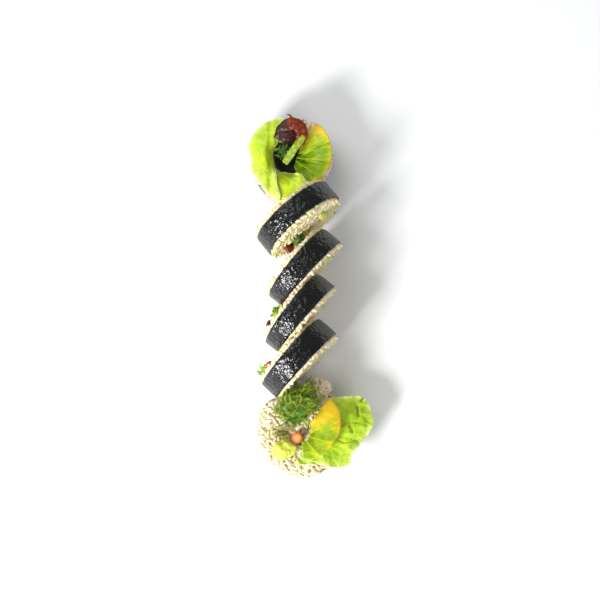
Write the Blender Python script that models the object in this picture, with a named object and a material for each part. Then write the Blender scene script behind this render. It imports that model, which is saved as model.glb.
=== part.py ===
"""A thick sushi roll cut in six, its pieces still in their order and touching.

An upright end piece, four slices standing on their seaweed edge, and an upright end piece.
Metres, +Z up. The row runs along Y, stands on z = 0, and its box is centred on x = 0, y = 0.
"""

import math
import random
from typing import NamedTuple

import bmesh
import bpy
from mathutils import Matrix, Vector
from mathutils.bvhtree import BVHTree

MM = 0.001

# The seaweed sheet and the fit between touching pieces
NORI_THICKNESS = 0.9 * MM
NORI_LAP_STEP = 0.5 * MM
NORI_LAP_ANGLE = math.radians(42)
FIT = 0.35 * MM
RICE_PROUD = 0.9 * MM
FACE_ROUGHNESS = 1.1 * MM

# Soft food flattens where it rests
SINK = 1.2 * MM
SOFT_DEPTH = 2.4 * MM
FLAT_DEPTH = 0.4 * MM

# A cooked grain, half its size each way
GRAIN_HALF = Vector((1.25 * MM, 1.15 * MM, 2.9 * MM))
GRAIN_SIDES = 6
GRAIN_ROWS = 3
OPEN_GRAIN_RISE = 0.2 * MM
PRESSED_GRAIN_RISE = -0.5 * MM
FACE_BUMP = 0.3 * MM
OPEN_FACE_GRAINS = 11
PRESSED_FACE_GRAINS = 3

# Fillings, seen on a cut face: Y across, Z up, from the roll's axis
RED_PLACE = (-15.0 * MM, 0.5 * MM)
RED_HALF = (2.8 * MM, 4.8 * MM)
GREENS_PLACE = (-8.2 * MM, 5.2 * MM)
GREENS_RADIUS = 4.1 * MM
CARROT_PLACE = (-7.0 * MM, -5.6 * MM)
CARROT_RADIUS = 3.3 * MM
STICK_PLACE = (-0.6 * MM, -1.4 * MM)
STICK_HALF = (2.5 * MM, 2.9 * MM)
AVOCADO_PLACE = (4.0 * MM, 0.0)
AVOCADO_ARC = 9.2 * MM
AVOCADO_SPREAD = math.radians(66)
AVOCADO_DEPTH = 7.0 * MM

# The red filling and the greens of slice_4 lie further out
OUTER_SLICE = 4
OUTER_RED_PLACE = (-13.8 * MM, 2.2 * MM)
OUTER_GREENS_PLACE = (-18.4 * MM, -5.0 * MM)
OUTER_GREENS_RADIUS = 3.0 * MM

# Where a piece is felt for what it lies on: straight under a point and around it
AROUND = ((0, 0), (1, 0), (-1, 0), (0, 1), (0, -1), (0.7, 0.7), (-0.7, 0.7), (0.7, -0.7), (-0.7, -0.7))

# The upright end pieces
END_HEIGHT = 17.5 * MM
END_SIDES = 36
TOP_PLACE = Vector((-5.3, 83.1, 0.0)) * MM
TOP_RADIUS = 23.9 * MM
BOTTOM_PLACE = Vector((1.2, -78.4, 0.0)) * MM
BOTTOM_RADIUS = 25.4 * MM
LEAF_THICKNESS = 0.9 * MM


class Slice(NamedTuple):
    """One slice standing on its edge: where it stands, how it is turned and how thick it was cut.

    wedge says how much thicker it is at its top and at its right end than in its middle.
    """

    name: str
    place: tuple[float, float]
    turn: float
    lean: float
    radius: float
    thickness: float
    dome: tuple[float, float]
    wedge: tuple[float, float]
    poke: dict[str, tuple[float, float]]
    seed: int
    open_face: bool = False

    def slope(self, y, z):
        """How far the near face is moved out at a place on it."""
        return (self.wedge[0] * z + self.wedge[1] * y) / self.radius


SLICES = (
    Slice(
        name="slice_1", place=(-1.2 * MM, 45.0 * MM), turn=math.radians(39.4), lean=math.radians(4.5),
        radius=26.2 * MM, thickness=14.2 * MM, dome=(0.4 * MM, 3.4 * MM), wedge=(0.0, 0.0),
        poke={"red": (0.2 * MM, 2.6 * MM), "greens": (0.2 * MM, 2.8 * MM)}, seed=1, open_face=True,
    ),
    Slice(
        name="slice_2", place=(2.3 * MM, 15.7 * MM), turn=math.radians(49.9), lean=math.radians(2.5),
        radius=25.7 * MM, thickness=13.0 * MM, dome=(0.5 * MM, 0.2 * MM), wedge=(1.5 * MM, 1.2 * MM),
        poke={}, seed=2,
    ),
    Slice(
        name="slice_3", place=(-0.8 * MM, -10.9 * MM), turn=math.radians(52.1), lean=math.radians(2.5),
        radius=25.5 * MM, thickness=12.6 * MM, dome=(0.2 * MM, 0.3 * MM), wedge=(1.5 * MM, 1.2 * MM),
        poke={"red": (4.3 * MM, 0.2 * MM), "greens": (4.6 * MM, 0.2 * MM)}, seed=3,
    ),
    Slice(
        name="slice_4", place=(-1.0 * MM, -36.9 * MM), turn=math.radians(48.7), lean=math.radians(2.5),
        radius=25.4 * MM, thickness=14.2 * MM, dome=(0.2 * MM, 0.6 * MM), wedge=(0.9 * MM, 0.8 * MM),
        poke={"red": (4.0 * MM, 0.3 * MM), "greens": (4.6 * MM, 0.3 * MM)}, seed=4, open_face=True,
    ),
)
USUAL_POKE = (0.3 * MM, 0.2 * MM)
END_TAPER = 0.1
END_NARROW = 0.72

COLOURS = {
    "nori": (0.012, 0.014, 0.013, 0.42),
    "rice": (0.62, 0.50, 0.36, 0.55),
    "avocado": (0.42, 0.56, 0.045, 0.45),
    "red": (0.22, 0.025, 0.010, 0.25),
    "greens": (0.06, 0.20, 0.012, 0.50),
    "carrot": (0.80, 0.22, 0.035, 0.40),
    "stick": (0.30, 0.44, 0.045, 0.55),
    "leaf": (0.50, 0.68, 0.020, 0.38),
    "herb": (0.07, 0.24, 0.012, 0.55),
    "flesh": (0.60, 0.62, 0.10, 0.50),
}


def clear_scene():
    """Removes whatever the file opened with."""
    for obj in list(bpy.data.objects):
        bpy.data.objects.remove(obj, do_unlink=True)


def new_collection(name):
    """A collection in the scene."""
    collection = bpy.data.collections.new(name)
    bpy.context.scene.collection.children.link(collection)
    return collection


def new_material(name, finish):
    """A plain material in one of the finishes' colours."""
    red, green, blue, roughness = COLOURS[finish]
    material = bpy.data.materials.new(name)
    material.use_nodes = True
    shader = material.node_tree.nodes["Principled BSDF"]
    shader.inputs["Base Color"].default_value = (red, green, blue, 1)
    shader.inputs["Roughness"].default_value = roughness
    shader.inputs["Metallic"].default_value = 0
    return material


def new_place(name, location, rotation):
    """An empty that carries the pieces of one cut."""
    empty = bpy.data.objects.new(name, None)
    empty.location = location
    empty.rotation_euler = rotation
    ROLL.objects.link(empty)
    bpy.context.view_layer.update()
    return empty


def new_part(name, bm, finish, place=None, smooth_angle=math.radians(50)):
    """Makes a named piece of a bmesh, with its own material, under the empty that carries it."""
    bmesh.ops.recalc_face_normals(bm, faces=bm.faces)
    mesh = bpy.data.meshes.new(name)
    bm.to_mesh(mesh)
    bm.free()
    mesh.shade_smooth()
    mesh.set_sharp_from_angle(angle=smooth_angle)
    mesh.materials.append(new_material(name, finish))
    obj = bpy.data.objects.new(name, mesh)
    ROLL.objects.link(obj)
    obj.parent = place
    bpy.context.view_layer.update()
    return obj


def uneven(angle, seed):
    """The hand-rolled outline, as a share of a circle's radius."""
    return (
        1
        + 0.010 * math.cos(2 * angle + seed)
        + 0.007 * math.cos(3 * angle + 2.1 * seed)
        + 0.004 * math.cos(5 * angle + 0.7 * seed)
    )


def smooth_step(low, high, value):
    """0 below low, 1 above high, and an even rise between."""
    share = min(max((value - low) / (high - low), 0), 1)
    return share * share * (3 - 2 * share)


def bridge(bm, first, second):
    """Faces between two closed rings of as many points."""
    count = len(first)
    for i in range(count):
        j = (i + 1) % count
        bm.faces.new((first[i], first[j], second[j], second[i]))


def fan(bm, ring, centre):
    """Closes a ring with triangles to its centre."""
    middle = bm.verts.new(centre)
    count = len(ring)
    for i in range(count):
        bm.faces.new((ring[i], ring[(i + 1) % count], middle))


def loft(rings):
    """A closed solid through rings of as many points, with each end closed to its own centre."""
    bm = bmesh.new()
    rows = [[bm.verts.new(point) for point in ring] for ring in rings]
    for first, second in zip(rows, rows[1:]):
        bridge(bm, first, second)
    for row, ring in ((rows[0], rings[0]), (rows[-1], rings[-1])):
        fan(bm, row, sum(ring, Vector()) / len(ring))
    return bm


def sheet(grid, thickness):
    """A thin solid under a grid of points, with both faces split into triangles alike."""
    bm = bmesh.new()
    tops = [[bm.verts.new(point) for point in row] for row in grid]
    lows = [[bm.verts.new(point - Vector((0, 0, thickness))) for point in row] for row in grid]
    rows, columns = len(grid), len(grid[0])
    for r in range(rows - 1):
        for c in range(columns - 1):
            for layer in (tops, lows):
                a, b = layer[r][c], layer[r][c + 1]
                d, e = layer[r + 1][c], layer[r + 1][c + 1]
                bm.faces.new((a, b, e))
                bm.faces.new((a, e, d))
    edge = [(0, c) for c in range(columns)]
    edge += [(r, columns - 1) for r in range(1, rows)]
    edge += [(rows - 1, c) for c in range(columns - 2, -1, -1)]
    edge += [(r, 0) for r in range(rows - 2, 0, -1)]
    for (r, c), (s, d) in zip(edge, edge[1:] + edge[:1]):
        bm.faces.new((tops[r][c], tops[s][d], lows[s][d], lows[r][c]))
    return bm


def sweep(path, halves, sides, squareness=1.0):
    """A closed solid along a path: halves gives each point's half width and half thickness."""
    rings = []
    side = Vector((0, 0, 1))
    for i, point in enumerate(path):
        along = (path[min(i + 1, len(path) - 1)] - path[max(i - 1, 0)]).normalized()
        wide = along.cross(side).normalized()
        thick = wide.cross(along).normalized()
        half_width, half_thickness = halves[i]
        ring = []
        for k in range(sides):
            angle = math.tau * (k + 0.5) / sides
            across, up = math.cos(angle), math.sin(angle)
            across = math.copysign(abs(across) ** squareness, across)
            up = math.copysign(abs(up) ** squareness, up)
            ring.append(point + wide * half_width * across + thick * half_thickness * up)
        rings.append(ring)
    return loft(rings)


def curve_through(points, count):
    """Evenly counted points on a smooth curve through a few named ones."""
    ends = [points[0] * 2 - points[1]] + list(points) + [points[-1] * 2 - points[-2]]
    found = []
    spans = len(points) - 1
    for k in range(count):
        at = k * spans / (count - 1)
        i = min(int(at), spans - 1)
        t = at - i
        a, b, c, d = ends[i : i + 4]
        found.append(
            0.5 * (2 * b + (c - a) * t + (2 * a - 5 * b + 4 * c - d) * t**2 + (3 * b - a - 3 * c + d) * t**3)
        )
    return found


def even(low, high, value):
    """0 below low, 1 above high, and a straight rise between."""
    return min(max((value - low) / (high - low), 0), 1)


def read_table(stops, value, rise=smooth_step):
    """A value between stops of (place, value)."""
    for (a, low), (b, high) in zip(stops, stops[1:]):
        if value <= b:
            return low + (high - low) * rise(a, b, value)
    return stops[-1][1]


def boolean(obj, operation, others, solver="EXACT"):
    """Cuts others out of a piece, or joins them to it, and removes them."""
    helpers = bpy.data.collections.new(f"{obj.name}_helpers")
    bpy.context.scene.collection.children.link(helpers)
    for other in others:
        helpers.objects.link(other)
    modifier = obj.modifiers.new(operation, "BOOLEAN")
    modifier.operation = operation
    modifier.operand_type = "COLLECTION"
    modifier.collection = helpers
    modifier.solver = solver
    bpy.context.view_layer.update()
    graph = bpy.context.evaluated_depsgraph_get()
    mesh = bpy.data.meshes.new_from_object(obj.evaluated_get(graph))
    obj.modifiers.remove(modifier)
    drop_scraps(mesh)
    obj.data = mesh
    for other in others:
        bpy.data.objects.remove(other, do_unlink=True)
    bpy.data.collections.remove(helpers)


def drop_scraps(mesh):
    """Keeps only the largest of the bodies that a mesh holds, so that no loose grain is left."""
    bm = bmesh.new()
    bm.from_mesh(mesh)
    bodies = []
    seen = set()
    for start in bm.verts:
        if start in seen:
            continue
        body = [start]
        seen.add(start)
        for vertex in body:
            for edge in vertex.link_edges:
                other = edge.other_vert(vertex)
                if other not in seen:
                    seen.add(other)
                    body.append(other)
        bodies.append(body)
    bodies.sort(key=len)
    for body in bodies[:-1]:
        bmesh.ops.delete(bm, geom=body, context="VERTS")
    bm.to_mesh(mesh)
    bm.free()


def helper_object(bm, place):
    """A shape that only cuts or joins."""
    bmesh.ops.recalc_face_normals(bm, faces=bm.faces)
    mesh = bpy.data.meshes.new("helper")
    bm.to_mesh(mesh)
    bm.free()
    obj = bpy.data.objects.new("helper", mesh)
    obj.hide_render = True
    obj.display_type = "WIRE"
    obj.parent = place
    return obj


def grain(centre, direction, place):
    """One cooked grain with few sides, its length along direction."""
    bm = bmesh.new()
    bmesh.ops.create_uvsphere(bm, u_segments=GRAIN_SIDES, v_segments=GRAIN_ROWS, radius=1)
    turn = Vector((0, 0, 1)).rotation_difference(direction).to_matrix().to_4x4()
    size = Matrix.Diagonal((*GRAIN_HALF, 1))
    bmesh.ops.transform(bm, matrix=Matrix.Translation(centre) @ turn @ size, verts=bm.verts)
    return helper_object(bm, place)


def settle(obj):
    """Flattens the underside of soft food where it rests, in the world's height."""
    place = obj.matrix_world
    back = place.inverted()
    for vertex in obj.data.vertices:
        world = place @ vertex.co
        if world.z < SOFT_DEPTH:
            share = (world.z + SINK - FLAT_DEPTH) / (SOFT_DEPTH + SINK - FLAT_DEPTH)
            world.z = max(share * SOFT_DEPTH, 0)
            vertex.co = back @ world


def tree_of(obj):
    """The piece's surface in world space, for measuring."""
    mesh = obj.data
    points = [obj.matrix_world @ vertex.co for vertex in mesh.vertices]
    return BVHTree.FromPolygons(points, [tuple(polygon.vertices) for polygon in mesh.polygons])


def support_height(point, trees, reach, top=60 * MM):
    """The highest surface under and close around a point."""
    found = 0.0
    for dx, dy in AROUND:
        start = Vector((point.x + dx * reach, point.y + dy * reach, top))
        for tree in trees:
            hit = tree.ray_cast(start, Vector((0, 0, -1)))[0]
            if hit:
                found = max(found, hit.z)
    return found


def drape(grid, place, supports, thickness, reach=1.3 * MM):
    """Lifts a sheet's points, given under place, so that its underside clears what it lies on."""
    trees = [tree_of(obj) for obj in supports]
    lifted = []
    for row in grid:
        line = []
        for point in row:
            height = support_height(place @ point, trees, reach) + FIT + thickness
            line.append(Vector((point.x, point.y, max(point.z, height))))
        lifted.append(line)
    lift_clear(lifted, place, trees, thickness)
    return lifted


def lift_clear(grid, place, trees, thickness, step=0.15 * MM, most=60):
    """Raises those points of a sheet whose triangles still cut into what it lies on."""
    rows, columns = len(grid), len(grid[0])
    corners = []
    for r in range(rows - 1):
        for c in range(columns - 1):
            corners.append(((r, c), (r, c + 1), (r + 1, c + 1)))
            corners.append(((r, c), (r + 1, c + 1), (r + 1, c)))
    for _ in range(most):
        found = set()
        for depth in (0, thickness + FIT / 2):
            down = Vector((0, 0, depth))
            points = [place @ (point - down) for row in grid for point in row]
            faces = [tuple(r * columns + c for r, c in corner) for corner in corners]
            own = BVHTree.FromPolygons(points, faces)
            for tree in trees:
                found |= {first for first, second in own.overlap(tree)}
        if not found:
            return
        for r, c in {place_in_grid for face in found for place_in_grid in corners[face]}:
            grid[r][c].z += step


def rest_on(obj, supports, step=0.15 * MM, most=90):
    """Moves a piece straight up or down until it just clears what carries it."""
    trees = [tree_of(other) for other in supports]

    def touching(lift):
        points = [obj.matrix_world @ vertex.co + Vector((0, 0, lift)) for vertex in obj.data.vertices]
        own = BVHTree.FromPolygons(points, [tuple(polygon.vertices) for polygon in obj.data.polygons])
        return any(own.overlap(tree) for tree in trees)

    lift = 0.0
    count = 0
    if touching(lift):
        while touching(lift) and count < most:
            lift += step
            count += 1
    else:
        while not touching(lift) and count < most:
            lift -= step
            count += 1
        lift += step
    for vertex in obj.data.vertices:
        vertex.co.z += lift + FIT


def section_round(place, radius, sides, grow=0.0, uneven_share=0.0, seed=0):
    """A round or lumpy section on the cut face, as (y, z) pairs."""
    chance = random.Random(seed)
    points = []
    for k in range(sides):
        angle = math.tau * k / sides
        reach = radius * (1 + uneven_share * chance.uniform(-1, 1)) + grow
        points.append((place[0] + reach * math.cos(angle), place[1] + reach * math.sin(angle)))
    return points


def section_oval(place, half, sides, grow=0.0, tilt=0.0, squareness=1.0):
    """An oval or boxy section on the cut face."""
    points = []
    for k in range(sides):
        angle = math.tau * (k + 0.5) / sides
        across = math.copysign(abs(math.cos(angle)) ** squareness, math.cos(angle)) * (half[0] + grow)
        up = math.copysign(abs(math.sin(angle)) ** squareness, math.sin(angle)) * (half[1] + grow)
        points.append(
            (
                place[0] + across * math.cos(tilt) - up * math.sin(tilt),
                place[1] + across * math.sin(tilt) + up * math.cos(tilt),
            )
        )
    return points


def section_crescent(place, arc, spread, depth, sides, grow=0.0):
    """A crescent section: the outer side of the arc, then back along the inner side."""
    half = sides // 2
    points = []
    for side in (1, -1):
        for k in range(half):
            share = (k + 0.5) / half
            angle = spread * (2 * share - 1) * side
            thick = depth * (0.22 + 0.78 * math.cos(0.5 * math.pi * angle / spread)) / 2 + grow
            reach = arc + side * thick
            points.append((place[0] + reach * math.cos(angle), place[1] + reach * math.sin(angle)))
    return points


def filling_sections(seed, grow):
    """Every filling's section on the cut face, by name."""
    red_place, greens_place, greens_radius = RED_PLACE, GREENS_PLACE, GREENS_RADIUS
    if seed == OUTER_SLICE:
        red_place, greens_place, greens_radius = OUTER_RED_PLACE, OUTER_GREENS_PLACE, OUTER_GREENS_RADIUS
    return {
        "red": section_oval(red_place, RED_HALF, 10, grow, tilt=0.15, squareness=0.8),
        "greens": section_round(greens_place, greens_radius, 11, grow, uneven_share=0.14, seed=seed),
        "carrot": section_round(CARROT_PLACE, CARROT_RADIUS, 10, grow, uneven_share=0.03, seed=seed + 7),
        "stick": section_oval(STICK_PLACE, STICK_HALF, 8, grow, tilt=0.3, squareness=0.6),
        "avocado": section_crescent(AVOCADO_PLACE, AVOCADO_ARC, AVOCADO_SPREAD, AVOCADO_DEPTH, 14, grow),
    }


def section_middle(section):
    """The middle of a section's points."""
    count = len(section)
    return sum(y for y, z in section) / count, sum(z for y, z in section) / count


def run_through(section, start, end, narrow):
    """A filling along X from start to end, its ends narrowed so that they look torn or rounded."""
    middle_y, middle_z = section_middle(section)
    taper = (end - start) * END_TAPER
    rings = []
    for x, share in ((start, narrow), (start + taper, 1.0), (end - taper, 1.0), (end, narrow)):
        ring = []
        for y, z in section:
            ring.append(Vector((x, middle_y + (y - middle_y) * share, middle_z + (z - middle_z) * share)))
        rings.append(ring)
    return loft(rings)


def straight_through(section, half_length):
    """The straight hole that a filling needs."""
    return loft([[Vector((x, y, z)) for y, z in section] for x in (-half_length, half_length)])


def nori_radius(angle, radius, seed, lap_start):
    """The outer face of the seaweed, with the step where its end laps over its start."""
    past = (angle - lap_start) % math.tau
    lap = NORI_LAP_STEP * (1 - smooth_step(NORI_LAP_ANGLE * 0.6, NORI_LAP_ANGLE, past))
    return radius * uneven(angle, seed) + (lap if past < NORI_LAP_ANGLE else 0)


def ring_wall(outer, inner):
    """A wall between an outer and an inner pair of closed rings."""
    bm = bmesh.new()
    loops = [[bm.verts.new(point) for point in ring] for ring in (outer[0], outer[1], inner[1], inner[0])]
    for i in range(4):
        bridge(bm, loops[i], loops[(i + 1) % 4])
    return bm


def slice_nori(cut, place, sides=32):
    """The seaweed band round one slice."""
    half = cut.thickness / 2 - RICE_PROUD
    lap_start = math.radians(-70 + 13 * cut.seed)
    outer, inner = [], []
    for x in (-half, half):
        rows = [], []
        for k in range(sides):
            angle = math.tau * k / sides
            reach = nori_radius(angle, cut.radius, cut.seed, lap_start)
            base = cut.radius * uneven(angle, cut.seed) - NORI_THICKNESS
            edge = x + cut.slope(reach * math.cos(angle), reach * math.sin(angle)) if x > 0 else x
            rows[0].append(Vector((edge, reach * math.cos(angle), reach * math.sin(angle))))
            rows[1].append(Vector((edge, base * math.cos(angle), base * math.sin(angle))))
        outer.append(rows[0])
        inner.append(rows[1])
    obj = new_part(f"{cut.name}_nori", ring_wall(outer, inner), "nori", place)
    settle(obj)
    return obj


def near_section(y, z, sections, clearance):
    """Whether a point on the cut face lies on or close to a filling."""
    for section in sections:
        middle_y, middle_z = section_middle(section)
        reach = max(math.hypot(py - middle_y, pz - middle_z) for py, pz in section)
        if math.hypot(y - middle_y, z - middle_z) > reach + clearance:
            continue
        if min(math.hypot(y - py, z - pz) for py, pz in section) < clearance:
            return True
        inside = False
        for (ya, za), (yb, zb) in zip(section, section[1:] + section[:1]):
            if (za > z) != (zb > z) and y < (yb - ya) * (z - za) / (zb - za) + ya:
                inside = not inside
        if inside:
            return True
    return False


def slice_rice(cut, place, sides=22):
    """The rice of one slice: a domed, bumpy disk with holes for the fillings and bold grains fused on."""
    chance = random.Random(cut.seed * 31)
    half = cut.thickness / 2

    def face_x(share, angle, side):
        dome = cut.dome[0] if side < 0 else cut.dome[1]
        swell = dome * (1 - share**2) * (1 - 0.35 * math.cos(angle - 0.3))
        reach = cut.radius * share
        slope = cut.slope(reach * math.cos(angle), reach * math.sin(angle)) if side > 0 else 0
        return side * (half + swell) + slope

    shares = ((1.0, -RICE_PROUD), (0.985, -0.25 * MM), (0.74, 0.0), (0.42, 0.0))
    rings = []
    for side in (-1, 1):
        rows = []
        for share, back in shares:
            ring = []
            for k in range(sides):
                angle = math.tau * k / sides
                reach = (cut.radius * uneven(angle, cut.seed) - NORI_THICKNESS - FIT) * share
                bump = chance.uniform(-1, 1) * FACE_BUMP if back == 0 else 0
                x = face_x(share, angle, side) + side * (back + bump)
                ring.append(Vector((x, reach * math.cos(angle), reach * math.sin(angle))))
            rows.append(ring)
        rings += reversed(rows) if side < 0 else rows
    obj = new_part(f"{cut.name}_rice", loft(rings), "rice", place)

    holes = filling_sections(cut.seed, FIT)
    reach = half + 12 * MM
    boolean(obj, "DIFFERENCE", [helper_object(straight_through(s, reach), place) for s in holes.values()])

    joined = []
    for side in (-1, 1):
        is_open = cut.open_face and side > 0
        count = OPEN_FACE_GRAINS if is_open else PRESSED_FACE_GRAINS
        for k in range(count):
            angle = math.tau * (k + chance.uniform(0.1, 0.9)) / count
            share = chance.uniform(0.66, 0.88)
            radius = cut.radius * share
            y, z = radius * math.cos(angle), radius * math.sin(angle)
            if near_section(y, z, holes.values(), 3.3 * MM):
                continue
            x = face_x(share, angle, side) + side * (OPEN_GRAIN_RISE if is_open else PRESSED_GRAIN_RISE)
            lie = angle + chance.uniform(-1.2, 1.2)
            direction = Vector((side * chance.uniform(0, 0.25), math.cos(lie), math.sin(lie))).normalized()
            joined.append(grain(Vector((x, y, z)), direction, place))
    boolean(obj, "UNION", joined)
    settle(obj)
    return obj


def build_slice(cut):
    """All the pieces of one slice."""
    half_band = cut.thickness / 2 - RICE_PROUD
    height = cut.radius * math.cos(cut.lean) + half_band * math.sin(cut.lean) - SINK
    place = new_place(
        f"{cut.name}_place",
        (cut.place[0], cut.place[1], height),
        (0, -cut.lean, cut.turn - math.pi / 2),
    )
    slice_nori(cut, place)
    slice_rice(cut, place)
    half = cut.thickness / 2
    for filling, section in filling_sections(cut.seed, 0).items():
        before, after = cut.poke.get(filling, USUAL_POKE)
        swell_before, swell_after = cut.dome
        start = -half - before - 0.8 * swell_before
        end = half + after + 0.8 * swell_after + cut.slope(*section_middle(section))
        bm = run_through(section, start, end, END_NARROW)
        new_part(f"{cut.name}_{filling}", bm, filling, place)


def limit_by_slice(centre, cut, swell):
    """How far an end piece may reach at an angle before it meets a slice's swelling face."""
    along = Vector((math.cos(cut.turn), math.sin(cut.turn)))
    across = Vector((math.sin(cut.turn), -math.cos(cut.turn)))
    half_length = cut.radius * 1.01 + FIT
    half_width = cut.thickness / 2 + swell + FACE_ROUGHNESS + FIT

    def reach(angle, most):
        ray = Vector((math.cos(angle), math.sin(angle)))
        for k in range(200):
            distance = most * k / 200
            offset = Vector((centre.x - cut.place[0], centre.y - cut.place[1])) + ray * distance
            if abs(offset.dot(along)) < half_length and abs(offset.dot(across)) < half_width:
                return distance
        return most

    def softened(angle, most):
        window = [reach(angle + math.radians(step), most) for step in (-10, -5, 0, 5, 10)]
        return min(reach(angle, most), sum(window) / len(window))

    return softened


def end_outline(radius, seed, limit):
    """The outline of an upright end piece, pressed in where a slice leans on it."""

    def reach(angle):
        return limit(angle, radius * uneven(angle, seed))

    return reach


def end_nori(name, place, outline, lap_start):
    """The seaweed band of an upright end piece, standing on its cut face."""
    outer, inner = [], []
    for z in (0.0, END_HEIGHT):
        rows = [], []
        for k in range(END_SIDES):
            angle = math.tau * k / END_SIDES
            wave = 0.5 * MM * math.sin(3 * angle + lap_start) if z else 0
            past = (angle - lap_start) % math.tau
            face = outline(angle) + (NORI_LAP_STEP * 0.8 if past < NORI_LAP_ANGLE else 0)
            rows[0].append(Vector((face * math.cos(angle), face * math.sin(angle), z + wave)))
            base = outline(angle) - NORI_THICKNESS
            rows[1].append(Vector((base * math.cos(angle), base * math.sin(angle), z + wave)))
        outer.append(rows[0])
        inner.append(rows[1])
    return new_part(f"{name}_nori", ring_wall(outer, inner), "nori", place)


def end_rice(name, place, outline, top, seed, shares, grain_places, holes=()):
    """The rice of an upright end piece, flat underneath.

    top gives its upper face's height at a radius and an angle.
    """
    chance = random.Random(seed)
    rings = []
    for share, z in ((0.5, 0.0), (0.97, 0.0), (1.0, 1.2 * MM), (1.0, END_HEIGHT - 1.5 * MM)):
        rings.append([])
        for k in range(END_SIDES):
            angle = math.tau * k / END_SIDES
            reach = (outline(angle) - NORI_THICKNESS - FIT) * share
            rings[-1].append(Vector((reach * math.cos(angle), reach * math.sin(angle), z)))
    for share in shares:
        rings.append([])
        for k in range(END_SIDES):
            angle = math.tau * k / END_SIDES
            reach = (outline(angle) - NORI_THICKNESS - FIT) * share
            z = top(reach, angle) + chance.uniform(-0.4, 0.4) * MM
            rings[-1].append(Vector((reach * math.cos(angle), reach * math.sin(angle), z)))
    obj = new_part(f"{name}_rice", loft(rings), "rice", place)
    if holes:
        boolean(obj, "DIFFERENCE", [helper_object(bm, place) for bm in holes])
    joined = []
    for angle, inset, rise in grain_places:
        radius = outline(angle) - inset
        lie = angle + chance.uniform(-1.4, 1.4)
        direction = Vector((math.cos(lie), math.sin(lie), chance.uniform(0, 0.4))).normalized()
        centre = Vector((radius * math.cos(angle), radius * math.sin(angle), top(radius, angle) + rise))
        joined.append(grain(centre, direction, place))
    boolean(obj, "UNION", joined)
    return obj


def angle_table(*stops):
    """Stops of (degrees, millimetres) in the script's own units."""
    return [(math.radians(angle), radius * MM) for angle, radius in stops]


def raised(obj, height):
    """Lifts a piece by its own points."""
    for vertex in obj.data.vertices:
        vertex.co.z += height
    return obj


def polar_sheet(start, end, radii, height, columns):
    """A grid of points between two angles: radii across it, and height(radius, angle, share) for Z."""
    grid = []
    for share in radii["shares"]:
        row = []
        for c in range(columns):
            angle = start + (end - start) * c / (columns - 1)
            near, far = radii["inner"](angle), radii["outer"](angle)
            radius = near + (far - near) * share
            z = height(radius, angle, share)
            row.append(Vector((radius * math.cos(angle), radius * math.sin(angle), z)))
        grid.append(row)
    return grid


def moved(grid, offset):
    """A grid of points, shifted."""
    return [[point + offset for point in row] for row in grid]


def fan_slices(
    name, place, pivot, angles, inner, outer, base, rise, thickness, supports, rows=5, columns=4
):
    """Thin avocado slices spread like a fan, each one's first edge over the last edge of the one before."""
    made = []
    count = len(angles) - 1
    overlap = math.radians(5)
    for i in range(count):
        start, end = angles[i] - overlap, angles[i + 1]

        def height(radius, angle, share, start=start, end=end):
            across = (angle - start) / (end - start)
            return base(radius, angle) + rise * (1 - across) + thickness

        radii = {"shares": [k / (rows - 1) for k in range(rows)], "inner": inner, "outer": outer}
        grid = moved(polar_sheet(start, end, radii, height, columns), pivot)
        grid = drape(grid, place.matrix_world, supports + made, thickness)
        made.append(new_part(f"{name}_{i + 1}", sheet(grid, thickness), "avocado", place))
    return made


def heap(place_xy, half, top_height, lumps, seed, columns=14, rows=5, limit=None):
    """A lumpy mound: half its size in X and Y, its height, and how rough its outline is."""
    chance = random.Random(seed)
    rings = []
    for r in range(rows + 1):
        climb = r / (rows + 0.6)
        ring = []
        for c in range(columns):
            angle = math.tau * c / columns
            swell = math.cos(climb * math.pi / 2) ** 0.6
            rough = 1 + lumps * chance.uniform(-1, 1)
            reach_x = half[0] * swell * rough * math.cos(angle)
            reach_y = half[1] * swell * rough * math.sin(angle)
            z = 0
            if r:
                z = top_height * math.sin(climb * math.pi / 2) * (1 + 0.5 * lumps * chance.uniform(-1, 1))
            point = Vector((place_xy[0] + reach_x, place_xy[1] + reach_y, z))
            if limit:
                point = limit(point)
            ring.append(point)
        rings.append(ring)
    return loft(rings)


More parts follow.
